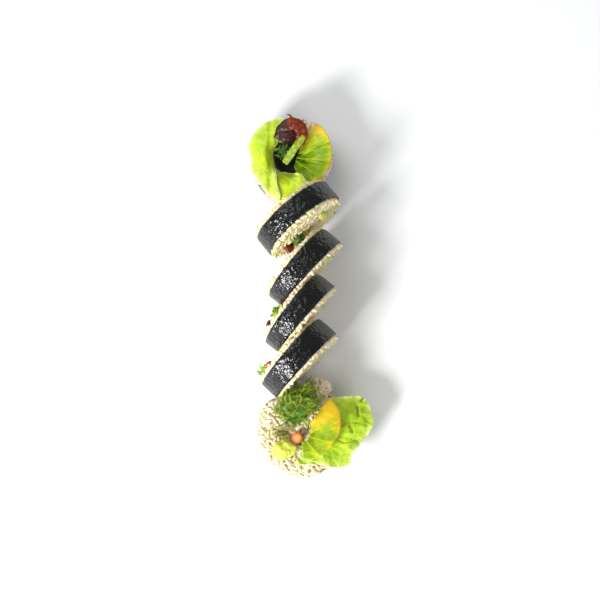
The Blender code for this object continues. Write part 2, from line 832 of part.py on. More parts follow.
def build_top_end():
    """The upright end piece at the far end: leaf petals, a fan of avocado and the fillings in the middle."""
    place = new_place("top_place", TOP_PLACE, (0, 0, 0))
    outline = end_outline(TOP_RADIUS, 5.0, limit_by_slice(TOP_PLACE, SLICES[0], SLICES[0].dome[0]))
    nori = end_nori("top", place, outline, lap_start=math.radians(200))

    def rice_top(radius, angle):
        return (13.0 + 7.0 * smooth_step(7 * MM, 15 * MM, radius)) * MM

    grains = [(math.radians(a), 3.2 * MM, 0.7 * MM) for a in (200, 208, 217, 226, 98, 70, 326)]
    grains += [(math.radians(a), 5.6 * MM, 0.9 * MM) for a in (204, 214)]
    rice = end_rice("top", place, outline, rice_top, 11, (0.95, 0.66, 0.5, 0.36, 0.2), grains)

    def cup(radius, angle):
        return rice_top(radius, angle) + 0.8 * MM

    fan_angles = [math.radians(a) for a in (-66, -36, -6, 24, 54)]
    rim = angle_table((-70, 20.6), (-38, 21.8), (-14, 23.6), (20, 24.8), (45, 25.4), (62, 24.6))
    fan_inner = angle_table((-66, 4.8), (-36, 3.2), (-6, 3.0), (24, 4.4), (54, 8.6))
    fan = fan_slices(
        "top_avocado", place, Vector(), fan_angles,
        inner=lambda angle: read_table(fan_inner, angle),
        outer=lambda angle: read_table(rim, angle),
        base=cup, rise=2.3 * MM, thickness=1.3 * MM, supports=[rice],
    )

    front_inner = angle_table((228, 13.0), (245, 9.0), (280, 9.5), (300, 13.0))
    front_outer = angle_table((228, 22.0), (250, 24.2), (275, 24.4), (292, 22.4), (300, 20.5))

    def front_height(radius, angle, share):
        return cup(radius, angle) + (1.2 + 2.4 * math.sin(math.pi * share) - 0.8 * share) * MM

    radii = {
        "shares": (0, 0.22, 0.45, 0.68, 0.86, 1),
        "inner": lambda angle: read_table(front_inner, angle),
        "outer": lambda angle: read_table(front_outer, angle),
    }
    grid = polar_sheet(math.radians(228), math.radians(300), radii, front_height, 8)
    grid = drape(grid, place.matrix_world, [rice] + fan, LEAF_THICKNESS)
    front = new_part("top_leaf_front", sheet(grid, LEAF_THICKNESS), "leaf", place)

    left_inner = angle_table((100, 19.5), (118, 12.5), (140, 11.0), (200, 10.5), (232, 13.0), (256, 21.0))
    left_outer = angle_table(
        (100, 23.0), (122, 25.9), (162, 26.6), (192, 22.6), (216, 20.6), (240, 22.6), (256, 24.2)
    )

    def left_height(radius, angle, share):
        crown = 3.4 * math.sin(math.pi * min(share + 0.1, 1)) ** 0.8
        ripple = 0.5 * math.sin(4 * angle) * share
        return cup(radius, angle) + (1.0 + crown + ripple - 1.4 * share) * MM

    radii = {
        "shares": (0, 0.14, 0.34, 0.6, 0.85, 1),
        "inner": lambda angle: read_table(left_inner, angle),
        "outer": lambda angle: read_table(left_outer, angle),
    }
    grid = polar_sheet(math.radians(100), math.radians(256), radii, left_height, 13)
    grid = drape(grid, place.matrix_world, [rice, nori, front], LEAF_THICKNESS)
    left = new_part("top_leaf_left", sheet(grid, LEAF_THICKNESS), "leaf", place)

    mound = heap((-4.4 * MM, 3.0 * MM), (4.6 * MM, 5.4 * MM), 7.0 * MM, 0.2, 21, 12, 4)
    greens = raised(new_part("top_greens", mound, "greens", place), 16 * MM)
    rest_on(greens, [rice, left, front] + fan)

    red_route = (
        (-7.6, 9.4, 21), (-5.2, 14.6, 23.6), (0.6, 17.4, 25.4),
        (5.4, 15.0, 25.2), (6.0, 9.4, 24), (3.0, 3.2, 22),
    )
    red_path = curve_through([Vector(point) * MM for point in red_route], 11)
    red_halves = []
    for k in range(len(red_path)):
        share = k / (len(red_path) - 1)
        swell = math.sin(math.pi * (0.12 + 0.8 * share)) ** 0.5
        red_halves.append((4.4 * MM * swell, 2.3 * MM * swell))
    red = new_part("top_red", sweep(red_path, red_halves, 8, squareness=0.85), "red", place)
    rest_on(red, [rice, left, front, greens] + fan)

    stick_route = ((7.8, 9.4, 31), (2.0, 2.0, 30), (-3.6, -6.0, 27))
    stick_path = curve_through([Vector(point) * MM for point in stick_route], 6)
    stick_halves = [(w * MM, 1.5 * MM) for w in (1.6, 2.1, 2.3, 2.3, 2.4, 1.8)]
    stick = new_part("top_stick", sweep(stick_path, stick_halves, 6, squareness=0.7), "stick", place)
    rest_on(stick, [rice, left, front, greens, red] + fan)


def build_bottom_end():
    """The upright end piece at the near end: rice on one side, herbs, avocado and lettuce on the other."""
    place = new_place("bottom_place", BOTTOM_PLACE, (0, 0, 0))
    limit = limit_by_slice(BOTTOM_PLACE, SLICES[3], SLICES[3].dome[1])
    outline = end_outline(BOTTOM_RADIUS, 2.0, limit)
    nori = end_nori("bottom", place, outline, lap_start=math.radians(30))
    carrot_place = Vector((-2.9, -4.2)) * MM

    def rice_top(radius, angle):
        across = radius * math.cos(angle)
        mound = 1.6 * (1 - smooth_step(-16 * MM, 8 * MM, across))
        shoulder = 1.2 * smooth_step(20 * MM, 25 * MM, radius)
        return (19.6 + mound - shoulder) * MM

    chance = random.Random(5)
    grains = []
    rows = ((2.9, 132, 292, 15), (5.8, 142, 286, 10), (9.2, 150, 262, 7), (12.6, 160, 226, 3))
    for inset, first, last, count in rows:
        for k in range(count):
            angle = math.radians(first + (last - first) * (k + chance.uniform(0.2, 0.8)) / count)
            deep = (inset + chance.uniform(-0.2, 0.6)) * MM
            grains.append((angle, deep, chance.uniform(0.4, 1.1) * MM))
    grains += [(math.radians(a), 3.2 * MM, 1.0 * MM) for a in (62, 68, 75, 82)]
    clump = (
        (60, 1.0, 2.0), (68, 0.8, 2.2), (76, 1.2, 2.0), (64, -1.8, 2.2), (71, -2.0, 2.4), (67, -4.4, 2.2)
    )
    grains += [(math.radians(angle), inset * MM, rise * MM) for angle, inset, rise in clump]

    def carrot_column(heights, grow):
        rings = []
        for z, share in heights:
            section = section_round((0, 0), CARROT_RADIUS * share, 10, grow)
            rings.append([Vector((carrot_place.x + y, carrot_place.y + x, z * MM)) for x, y in section])
        return loft(rings)

    hole = carrot_column(((-5, 1.0), (40, 1.0)), FIT)
    rice = end_rice("bottom", place, outline, rice_top, 13, (0.96, 0.72, 0.42), grains, holes=[hole])
    column = carrot_column(((0.4, 0.96), (2.0, 1.0), (24.6, 1.0), (25.4, 0.9)), 0)
    carrot = new_part("bottom_carrot", column, "carrot", place)

    leaf_centre = Vector((9.0, -1.2, 0)) * MM
    rim = angle_table(
        (-129, 22.5), (-111, 19.3), (-86, 17.5), (-72, 20.7), (-57, 23.5), (-44, 26.6), (-35, 23.4),
        (-24, 23.5), (-4, 28.0), (10, 33.7), (25, 33.9), (38, 35.0), (48, 28.2), (63, 23.1), (76, 20.0),
    )

    def leaf_height(radius, angle, share):
        droop = 5.5 * smooth_step(14 * MM, 36 * MM, radius)
        frill = (0.9 * math.sin(9 * angle) + 0.6 * math.sin(14 * angle + 1)) * share**2
        fold = 1.0 * math.sin(3.2 * angle + 0.4) * share
        return (22.0 - droop + frill + fold) * MM

    radii = {
        "shares": (0, 0.35, 0.65, 0.86, 1),
        "inner": lambda angle: 4.0 * MM,
        "outer": lambda angle: read_table(rim, angle, even),
    }
    grid = moved(polar_sheet(math.radians(-128), math.radians(76), radii, leaf_height, 25), leaf_centre)
    grid = drape(grid, place.matrix_world, [rice, nori], LEAF_THICKNESS)
    leaf = new_part("bottom_lettuce", sheet(grid, LEAF_THICKNESS), "leaf", place)

    fan_pivot = Vector((-0.6, -3.0, 0)) * MM
    fan_rim = angle_table((-84, 13.6), (-52, 15.6), (-20, 18.2), (14, 23.4), (36, 26.8), (56, 27.0))
    fan_inner = angle_table((-84, 3.0), (-20, 4.6), (20, 5.6), (56, 9.0))

    def fan_base(radius, angle):
        return (22.4 + 3.2 * math.sin(math.pi * min(radius / (26 * MM), 1)) ** 0.8) * MM

    fan = fan_slices(
        "bottom_avocado", place, fan_pivot, [math.radians(a) for a in (-80, -44, -8, 24, 54)],
        inner=lambda angle: read_table(fan_inner, angle),
        outer=lambda angle: read_table(fan_rim, angle),
        base=fan_base, rise=2.2 * MM, thickness=1.8 * MM, supports=[rice, leaf, carrot], rows=6, columns=4,
    )

    cut = SLICES[3]
    across = Vector((math.sin(cut.turn), -math.cos(cut.turn), 0))
    half_thick = cut.thickness / 2 + cut.dome[1] + FACE_ROUGHNESS
    face = across.dot(Vector((*cut.place, 0)) - BOTTOM_PLACE) + half_thick

    def clear_of_slice(point):
        short = face - across.dot(point)
        return point + across * max(short, 0)

    mound = heap((-3.4 * MM, 15.2 * MM), (12.4 * MM, 13.2 * MM), 12.5 * MM, 0.13, 33, 14, 4, clear_of_slice)
    herb = raised(new_part("bottom_herb", mound, "herb", place), 22 * MM)
    rest_on(herb, [rice, leaf, carrot] + fan)

    def clear_of_carrot(point):
        away = point.xy - carrot_place
        reach = max(away.length, CARROT_RADIUS + 3 * FIT)
        around = carrot_place + away.normalized() * reach
        return Vector((around.x, around.y, point.z))

    mound = heap((-10.0 * MM, -10.6 * MM), (7.2 * MM, 6.0 * MM), 4.2 * MM, 0.14, 41, 16, 3, clear_of_carrot)
    flesh = raised(new_part("bottom_flesh", mound, "flesh", place), 20 * MM)
    rest_on(flesh, [rice, leaf, carrot, herb] + fan)

    mound = heap((-11.2 * MM, -1.6 * MM), (5.2 * MM, 2.8 * MM), 3.4 * MM, 0.2, 43, 10, 3)
    tuft = raised(new_part("bottom_tuft", mound, "herb", place), 21 * MM)
    rest_on(tuft, [rice, leaf, carrot, herb, flesh] + fan)


def centre_row():
    """Puts the middle of the row's box over the origin."""
    bpy.context.view_layer.update()
    pieces = [obj for obj in ROLL.objects if obj.type == "MESH"]
    points = [obj.matrix_world @ vertex.co for obj in pieces for vertex in obj.data.vertices]
    shift = [-(min(p[i] for p in points) + max(p[i] for p in points)) / 2 for i in (0, 1)]
    for obj in ROLL.objects:
        if obj.type == "EMPTY":
            obj.location.x += shift[0]
            obj.location.y += shift[1]
    bpy.context.view_layer.update()


clear_scene()
ROLL = new_collection("avocado_sushi_roll")
for piece in SLICES:
    build_slice(piece)
build_top_end()
build_bottom_end()
centre_row()
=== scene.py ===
"""The looks of a thick sushi roll cut in six: seaweed, grains of rice, avocado, leaves and herbs.

Metres, +Z up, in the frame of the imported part. Sizes inside the classes are in millimetres and degrees.
"""

import logging
import math
import random
from dataclasses import dataclass, field
from enum import Enum
from typing import Callable, Iterable, Sequence

import bmesh
import bpy
from mathutils import Euler, Matrix, Vector, noise
from mathutils.geometry import intersect_point_line
from mathutils.kdtree import KDTree


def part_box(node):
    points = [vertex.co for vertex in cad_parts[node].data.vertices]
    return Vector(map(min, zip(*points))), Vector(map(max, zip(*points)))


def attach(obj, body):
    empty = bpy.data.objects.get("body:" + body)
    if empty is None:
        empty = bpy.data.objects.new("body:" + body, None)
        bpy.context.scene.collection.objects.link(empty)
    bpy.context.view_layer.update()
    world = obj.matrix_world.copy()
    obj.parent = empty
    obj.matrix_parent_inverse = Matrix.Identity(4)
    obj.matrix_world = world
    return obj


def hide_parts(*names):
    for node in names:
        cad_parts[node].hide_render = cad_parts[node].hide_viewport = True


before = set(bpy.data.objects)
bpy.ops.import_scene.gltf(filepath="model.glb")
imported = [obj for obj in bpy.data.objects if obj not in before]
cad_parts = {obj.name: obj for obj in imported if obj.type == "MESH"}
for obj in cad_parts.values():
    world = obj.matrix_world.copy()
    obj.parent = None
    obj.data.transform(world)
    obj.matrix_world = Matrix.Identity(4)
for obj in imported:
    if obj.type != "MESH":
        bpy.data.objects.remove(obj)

MM = 0.001
UP = Vector((0, 0, 1))
PHOTO_PIXELS = 600
log = logging.getLogger("sushi_roll")

# The seaweed and the way soft food settles on what it stands on, as in the solids
NORI_THICKNESS = 0.9
NORI_LAP_STEP = 0.5
NORI_LAP_ANGLE = 42
FIT = 0.35
RICE_PROUD = 0.9
SINK = 1.2
SOFT_DEPTH = 2.4
FLAT_DEPTH = 0.4
END_HEIGHT = 17.5

# The outline of the hand-rolled roll: waves round it, their height and how much the seed turns them
OUTLINE_WAVES = ((2, 0.010, 1.0), (3, 0.007, 2.1), (5, 0.004, 0.7))

# Crinkles in the seaweed: how deep and how far apart, and how much deeper they are cut in a slice's band
CRINKLES = ((0.20, 7.0), (0.20, 3.0))
CRINKLE_DEPTH = 1.4
END_CRINKLES = ((0.22, 7.0), (0.18, 2.6))

# The avocado's arc on a cut face: where its middle lies across the roll, its radius, half its thickness
# and half its spread in degrees
AVOCADO_ACROSS = 4.0
AVOCADO_ARC = 9.2
AVOCADO_DEPTH = 3.4
AVOCADO_SPREAD = 66

# The first slice shows most of its face, and the last one has its red and its greens further out
OPEN_SLICE = 1
OUTER_SLICE = 4

# The plan of the row before it was centred: where its two ends and the carrot stand
TOP_PLAN = Vector((-5.3, 83.1, 0))
BOTTOM_PLAN = Vector((1.2, -78.4, 0))
CARROT_OFFSET = Vector((-2.9, -4.2, 0))


class Slot(Enum):
    """The record's material slots."""

    NORI = "nori"
    RICE = "rice"
    AVOCADO = "avocado"
    RED = "red"
    GREENS = "greens"
    CARROT = "carrot"
    STICK = "stick"
    LEAF = "leaf"
    HERB = "herb"
    FLESH = "flesh"


class Relief(Enum):
    """How a finer copy of a solid gets its relief."""

    ALONG_NORMAL = 1
    STRAIGHT_UP = 2


def colour(red: float, green: float, blue: float) -> tuple[float, float, float, float]:
    """A colour seen on a screen, 0 to 255 each, as the linear colour that a shader takes.

    Args:
        red: the red share.
        green: the green share.
        blue: the blue share.

    Returns:
        Linear red, green, blue and a full alpha.
    """
    linear = []
    for share in (red / 255, green / 255, blue / 255):
        linear.append(share / 12.92 if share <= 0.04045 else ((share + 0.055) / 1.055) ** 2.4)
    return (*linear, 1.0)


def smooth_step(low: float, high: float, value: float) -> float:
    """0 below low, 1 above high, and an even rise between.

    Args:
        low: where the rise starts.
        high: where it ends.
        value: the place that is asked for.

    Returns:
        A share from 0 to 1.
    """
    share = min(max((value - low) / (high - low), 0), 1)
    return share * share * (3 - 2 * share)


def ripple(point: Vector, size: float, seed: float = 0.0) -> float:
    """Smooth noise from about -1 to 1.

    Args:
        point: the place, in metres.
        size: how far apart the bumps are, in millimetres.
        seed: shifts the pattern.

    Returns:
        The noise there.
    """
    return noise.noise(point / (size * MM) + Vector((seed * 7.3, seed * 3.1, seed * 5.7)))


def uneven(angle: float, seed: float) -> float:
    """The hand-rolled outline, as a share of a circle's radius.

    Args:
        angle: the place round the roll, in radians.
        seed: which slice's outline.

    Returns:
        A share close to 1.
    """
    share = 1.0
    for times, height, turn in OUTLINE_WAVES:
        share += height * math.cos(times * angle + turn * seed)
    return share


def around(angle: float, reach: float = 1.0, rise: float = 0.0) -> Vector:
    """A place round an upright axis, from its angle in radians, its distance and its height."""
    return Vector((reach * math.cos(angle), reach * math.sin(angle), rise))


def round_roll(x: float, reach: float, angle: float) -> Vector:
    """A place round a roll that lies along X, from how far along, how far out and how far round."""
    return Vector((x, reach * math.cos(angle), reach * math.sin(angle)))


def settled(point: Vector) -> Vector:
    """Soft food flattens close above what it stands on.

    Args:
        point: a place in the row's frame.

    Returns:
        The place after settling.
    """
    height = point.z / MM
    if height >= SOFT_DEPTH:
        return point
    share = (height + SINK - FLAT_DEPTH) / (SOFT_DEPTH + SINK - FLAT_DEPTH)
    return Vector((point.x, point.y, max(share * SOFT_DEPTH, 0) * MM))


class Term:
    """A node's output that takes part in Python arithmetic."""

    def __init__(self, nodes: "Nodes", socket: bpy.types.NodeSocket) -> None:
        """Keeps the socket and the tree that it belongs to."""
        self.nodes = nodes
        self.socket = socket

    def _maths(self, operation: str, first: "Term | float", second: "Term | float") -> "Term":
        """Adds one Math node."""
        return self.nodes.add("ShaderNodeMath", {"operation": operation}, {0: first, 1: second})

    def __add__(self, other: "Term | float") -> "Term":
        """self + other."""
        return self._maths("ADD", self, other)

    __radd__ = __add__

    def __sub__(self, other: "Term | float") -> "Term":
        """self - other."""
        return self._maths("SUBTRACT", self, other)

    def __rsub__(self, other: float) -> "Term":
        """other - self."""
        return self._maths("SUBTRACT", other, self)

    def __mul__(self, other: "Term | float") -> "Term":
        """self * other."""
        return self._maths("MULTIPLY", self, other)

    __rmul__ = __mul__

    def clipped(self) -> "Term":
        """Held between 0 and 1."""
        return self._maths("MAXIMUM", self._maths("MINIMUM", self, 1.0), 0.0)


@dataclass
class Nodes:
    """A node tree that is written as Python calls."""

    tree: bpy.types.NodeTree

    def add(
        self, kind: str, settings: dict | None = None, values: dict | None = None, out: str | int = 0
    ) -> Term | None:
        """Adds a node.

        Args:
            kind: the node's type.
            settings: its own properties, set first.
            values: numbers, colours, vectors or other terms, by socket name or number.
            out: which of its outputs is returned.

        Returns:
            The output as a term, or None for a node without outputs.
        """
        node = self.tree.nodes.new(kind)
        for key, value in (settings or {}).items():
            setattr(node, key, value)
        for key, value in (values or {}).items():
            socket = self.pick(node.inputs, key)
            if isinstance(value, Term):
                self.tree.links.new(value.socket, socket)
            else:
                socket.default_value = value
        return Term(self, self.pick(node.outputs, out)) if node.outputs else None

    def pick(self, sockets: Iterable[bpy.types.NodeSocket], key: str | int) -> bpy.types.NodeSocket:
        """Finds a socket by its number, or by its name among those in use.

        Args:
            sockets: a node's inputs or outputs.
            key: the number or the name.

        Returns:
            The socket.
        """
        if isinstance(key, int):
            return sockets[key]
        return next(socket for socket in sockets if socket.enabled and socket.name == key)

    def other(self, term: Term, out: str) -> Term:
        """Another output of the node that a term comes from."""
        return Term(self, self.pick(term.socket.node.outputs, out))


class Shader(Nodes):
    """A material's nodes, with the few patterns that the finishes share."""

    def __init__(self, name: str) -> None:
        """Starts a material with an empty tree.

        Args:
            name: the material's name.
        """
        self.material = bpy.data.materials.new(name)
        self.material.use_nodes = True
        super().__init__(self.material.node_tree)
        self.tree.nodes.clear()
        self.place = self.add("ShaderNodeTexCoord", out="Object")

    def noise(self, size: float, detail: float = 3.0, rough: float = 0.55, at: Term | None = None) -> Term:
        """Cloudy noise from 0 to 1.

        Args:
            size: the distance between its clouds, in millimetres, or in the units of at.
            detail: how many finer layers it has.
            rough: how strong those are.
            at: the coordinates, or the piece's own.

        Returns:
            The noise as a term.
        """
        scale = 1 / (size * MM) if at is None else 1 / size
        values = {"Vector": at or self.place, "Scale": scale, "Detail": detail, "Roughness": rough}
        return self.add("ShaderNodeTexNoise", values=values)

    def cells(self, size: float, feature: str = "DISTANCE_TO_EDGE") -> Term:
        """Distance from the edges of a net of cells, or from their middles."""
        values = {"Vector": self.place, "Scale": 1 / (size * MM)}
        return self.add("ShaderNodeTexVoronoi", {"feature": feature}, values, "Distance")

    def attribute(self, name: str, out: str = "Fac") -> Term:
        """A number or vector that the mesh carries."""
        return self.add("ShaderNodeAttribute", {"attribute_name": name}, out=out)

    def ramp(self, factor: Term, *stops: tuple[float, Sequence[float]]) -> Term:
        """A colour ramp.

        Args:
            factor: the place on the ramp.
            stops: each stop's place and colour.

        Returns:
            The colour.
        """
        term = self.add("ShaderNodeValToRGB", values={0: factor})
        elements = term.socket.node.color_ramp.elements
        while len(elements) < len(stops):
            elements.new(0.5)
        for element, (place, stop_colour) in zip(elements, stops):
            element.position = place
            element.color = stop_colour
        return term

    def mix(
        self, factor: Term | float, first: Term | Sequence[float], second: Term | Sequence[float]
    ) -> Term:
        """Mixes two colours.

        Args:
            factor: 0 for the first, 1 for the second.
            first: a colour.
            second: a colour.

        Returns:
            The mixed colour.
        """
        values = {"Factor": factor, "A": first, "B": second}
        return self.add("ShaderNodeMix", {"data_type": "RGBA"}, values, "Result")

    def bump(self, height: Term, distance: float, strength: float = 1.0) -> Term:
        """A normal from a height pattern that is distance millimetres deep."""
        values = {"Height": height, "Distance": distance * MM, "Strength": strength}
        return self.add("ShaderNodeBump", values=values)

    def finish(
        self, base: Term | Sequence[float], roughness: Term | float, normal: Term, **constants: float
    ) -> bpy.types.Material:
        """Ends the tree with the shader.

        Args:
            base: the base colour.
            roughness: how matt the surface is.
            normal: the bumped normal.
            constants: other sockets of the shader, by name with underscores for spaces.

        Returns:
            The material.
        """
        values = {"Base Color": base, "Roughness": roughness, "Normal": normal}
        for key, value in constants.items():
            values[key.replace("_", " ")] = value
        surface = self.add("ShaderNodeBsdfPrincipled", values=values)
        self.add("ShaderNodeOutputMaterial", values={"Surface": surface})
        return self.material


@dataclass(frozen=True)
class NoriFinish:
    """Dried seaweed: near black, finely crinkled, with a sheen where it is taut."""

    dark: tuple = colour(4, 4, 5)
    light: tuple = colour(15, 17, 16)

    def make(self) -> bpy.types.Material:
        """Builds the material.

        Returns:
            The material.
        """
        shader = Shader("nori_sheet")
        blotch = shader.noise(5.0, 4.0, 0.6)
        fine = shader.noise(0.7, 3.0, 0.6)
        creases = shader.cells(3.4)
        base = shader.mix((blotch * 1.6 - 0.45).clipped(), self.dark, self.light)
        height = shader.noise(2.4, 2.0, 0.5) + fine * 0.07 + (creases * 1.4).clipped() * 0.4
        roughness = blotch * 0.14 + fine * 0.05 + 0.10
        return shader.finish(base, roughness, shader.bump(height, 0.8), Specular_IOR_Level=0.5)


@dataclass(frozen=True)
class RiceFinish:
    """Cooked rice: cream, each grain a little different, moist on top, with painted shade on the pressed rice
    between the grains and in the far end's bowl.
    """

    pale: tuple = colour(245, 231, 206)
    warm: tuple = colour(232, 209, 172)
    # deep is painted shade: the colour of the pressed rice that shows between the grains.
    deep: tuple = colour(206, 178, 134)
    # Painted shade: near black, for the far end's deep bowl.
    hollow: tuple = colour(18, 26, 7)
    stain: tuple = colour(208, 204, 84)
    crumb: tuple = colour(128, 92, 34)

    def make(self) -> bpy.types.Material:
        """Builds the material.

        Returns:
            The material.
        """
        shader = Shader("cooked_rice")
        shade = shader.attribute("shade")
        cloud = shader.noise(9.0, 2.0)
        fine = shader.noise(0.8, 2.0)
        grain_colour = shader.mix((shade * 0.8 + cloud * 0.5 - 0.2).clipped(), self.warm, self.pale)
        # Painted shade: where the shade number is near 0, on the pressed rice between the grains, the rice
        # takes the deep colour.
        low = 1 - (shade * 40.0).clipped()
        base = shader.mix(low * 0.8, grain_colour, self.deep)
        stain = shader.attribute("stain")
        base = shader.mix((shader.noise(5.0, 2.0) * 4.0 - 1.7).clipped() * stain, base, self.stain)
        crumbs = 1 - (shader.cells(4.6, "F1") * 5.0).clipped()
        base = shader.mix(crumbs * stain * 2.0, base, self.crumb)
        # Painted shade in the bowl.
        base = shader.mix(shader.attribute("hollow"), base, self.hollow)
        return shader.finish(
            base, fine * 0.2 + 0.32, shader.bump(fine, 0.10), Subsurface_Weight=0.12,
            Subsurface_Scale=1.5 * MM,
        )


@dataclass(frozen=True)
class LeafFinish:
    """A tender leaf: bright yellow green, with pale edges, faint veins, cloudy patches, and painted shade in
    any slits and creases.
    """

    name: str
    middle: tuple = colour(198, 222, 18)
    shadow: tuple = colour(156, 190, 8)
    pale: tuple = colour(222, 236, 58)
    edge: tuple = colour(240, 246, 150)
    # Painted shade for the lettuce's slits and creases.
    slit: tuple = colour(84, 122, 4)

    def make(self) -> bpy.types.Material:
        """Builds the material.

        Returns:
            The material.
        """
        shader = Shader(self.name)
        cloud = shader.noise(11.0, 3.0, 0.6)
        patch = shader.noise(4.0, 3.0, 0.6)
        veins = 1 - (shader.cells(4.2) * 9.0).clipped()
        fine_veins = 1 - (shader.cells(1.5) * 6.0).clipped()
        base = shader.mix((cloud * 2.6 - 0.85).clipped(), self.shadow, self.middle)
        base = shader.mix((patch * 2.4 - 1.1).clipped() * 0.6, base, self.pale)
        base = shader.mix(veins * 0.22, base, self.pale)
        base = shader.mix(shader.attribute("edge") * 0.95, base, self.edge)
        # Painted shade in slits and creases.
        base = shader.mix(shader.attribute("slit"), base, self.slit)
        height = veins * 0.5 + fine_veins * 0.18 + patch * 0.9
        return shader.finish(
            base, patch * 0.2 + 0.26, shader.bump(height, 0.22), Subsurface_Weight=0.1,
            Subsurface_Scale=1.2 * MM,
        )


@dataclass(frozen=True)
class AvocadoFinish:
    """Ripe avocado: green at the skin, yellow at the stone, with soft lines along each slice and a faint
    painted highlight along its rim.
    """

    name: str
    skin: tuple = colour(118, 160, 14)
    middle: tuple = colour(164, 194, 26)
    stone: tuple = colour(228, 212, 40)
    warm: tuple = colour(244, 196, 26)

    def make(self) -> bpy.types.Material:
        """Builds the material.

        Returns:
            The material.
        """
        shader = Shader(self.name)
        lines = shader.noise(0.07, 2.0, 0.5, at=shader.attribute("fan", "Vector"))
        cloud = shader.noise(5.0, 3.0, 0.55)
        fine = shader.noise(0.9, 3.0, 0.55)
        ripe = shader.attribute("ripe")
        place = (ripe + (lines - 0.5) * 0.85 + (cloud - 0.5) * 0.3).clipped()
        stops = ((0.0, self.skin), (0.42, self.middle), (0.72, self.stone), (1.0, self.warm))
        base = shader.ramp(place, *stops)
        # Painted highlight: a little of the stone's colour where a piece's rim is near.
        base = shader.mix(shader.attribute("edge") * 0.07, base, self.stone)
        height = lines * 0.6 + fine * 0.2
        return shader.finish(
            base, fine * 0.2 + 0.28, shader.bump(height, 0.24), Subsurface_Weight=0.1,
            Subsurface_Scale=1.5 * MM,
        )


@dataclass(frozen=True)
class RedFinish:
    """A marinated red strip: red brown, wet, with painted shade in its folds, and small pale specks."""

    name: str
    bright: tuple = colour(164, 62, 10)
    # dark is the strip's own darker red, and also its painted shade where deep is set.
    dark: tuple = colour(48, 9, 2)
    speck: tuple = colour(214, 130, 70)

    def make(self) -> bpy.types.Material:
        """Builds the material.

        Returns:
            The material.
        """
        shader = Shader(self.name)
        cloud = shader.noise(4.0, 3.0, 0.6)
        deep = shader.attribute("deep")
        fine = shader.noise(0.9, 3.0, 0.6)
        specks = shader.cells(2.7, "F1")
        base = shader.mix((cloud * 2.2 - 0.7).clipped(), self.dark, self.bright)
        # Painted shade: the deep share turns the strip dark in its folds.
        base = shader.mix(deep, base, self.dark)
        base = shader.mix((1 - (specks * 8.0).clipped()) * 0.5, base, self.speck)
        height = cloud * 0.8 + fine * 0.25
        return shader.finish(
            base, fine * 0.2 + 0.30, shader.bump(height, 0.3), Specular_IOR_Level=0.35
        )


@dataclass(frozen=True)
class PlantFinish:
    """Cut or leafy greens: two greens by patches, paler on the tips."""

    name: str
    dark: tuple
    light: tuple
    tip: tuple
    patch: float = 3.0
    gloss: float = 0.34
    depth: float = 0.25

    def make(self) -> bpy.types.Material:
        """Builds the material.

        Returns:
            The material.
        """
        shader = Shader(self.name)
        cloud = shader.noise(self.patch, 3.0, 0.65)
        fine = shader.noise(0.6, 3.0, 0.6)
        shade = shader.attribute("shade")
        base = shader.mix((cloud * 2.4 - 0.9 + shade * 0.5).clipped(), self.dark, self.light)
        tips = (shader.attribute("tip") * 0.8 + (shade - 0.8).clipped() * 2.5).clipped()
        base = shader.mix(tips, base, self.tip)
        height = fine * 0.6 + cloud * 0.8
        return shader.finish(base, fine * 0.22 + self.gloss, shader.bump(height, self.depth))


@dataclass(frozen=True)
class CarrotFinish:
    """Raw carrot, cut across: orange with a paler heart and fine rays."""

    outer: tuple = colour(240, 120, 45)
    heart: tuple = colour(252, 178, 110)

    def make(self) -> bpy.types.Material:
        """Builds the material.

        Returns:
            The material.
        """
        shader = Shader("carrot_flesh")
        fine = shader.noise(0.7, 3.0, 0.6)
        heart = (shader.attribute("heart") * 1.6 + (fine - 0.5) * 0.5).clipped()
        base = shader.mix(heart, self.outer, self.heart)
        return shader.finish(
            base, fine * 0.2 + 0.28, shader.bump(fine, 0.2), Subsurface_Weight=0.15, Subsurface_Scale=1.5 * MM
        )


@dataclass(frozen=True)
class FleshFinish:
    """Soft mashed avocado: pale yellow green with creamy lumps."""

    green: tuple = colour(176, 200, 44)
    cream: tuple = colour(240, 224, 96)

    def make(self) -> bpy.types.Material:
        """Builds the material.

        Returns:
            The material.
        """
        shader = Shader("mashed_avocado")
        cloud = shader.noise(3.2, 3.0, 0.6)
        fine = shader.noise(0.8, 3.0, 0.6)
        base = shader.mix((cloud * 2.0 - 0.5).clipped(), self.green, self.cream)
        height = cloud + fine * 0.4
        return shader.finish(base, fine * 0.2 + 0.28, shader.bump(height, 0.5), Subsurface_Weight=0.1)


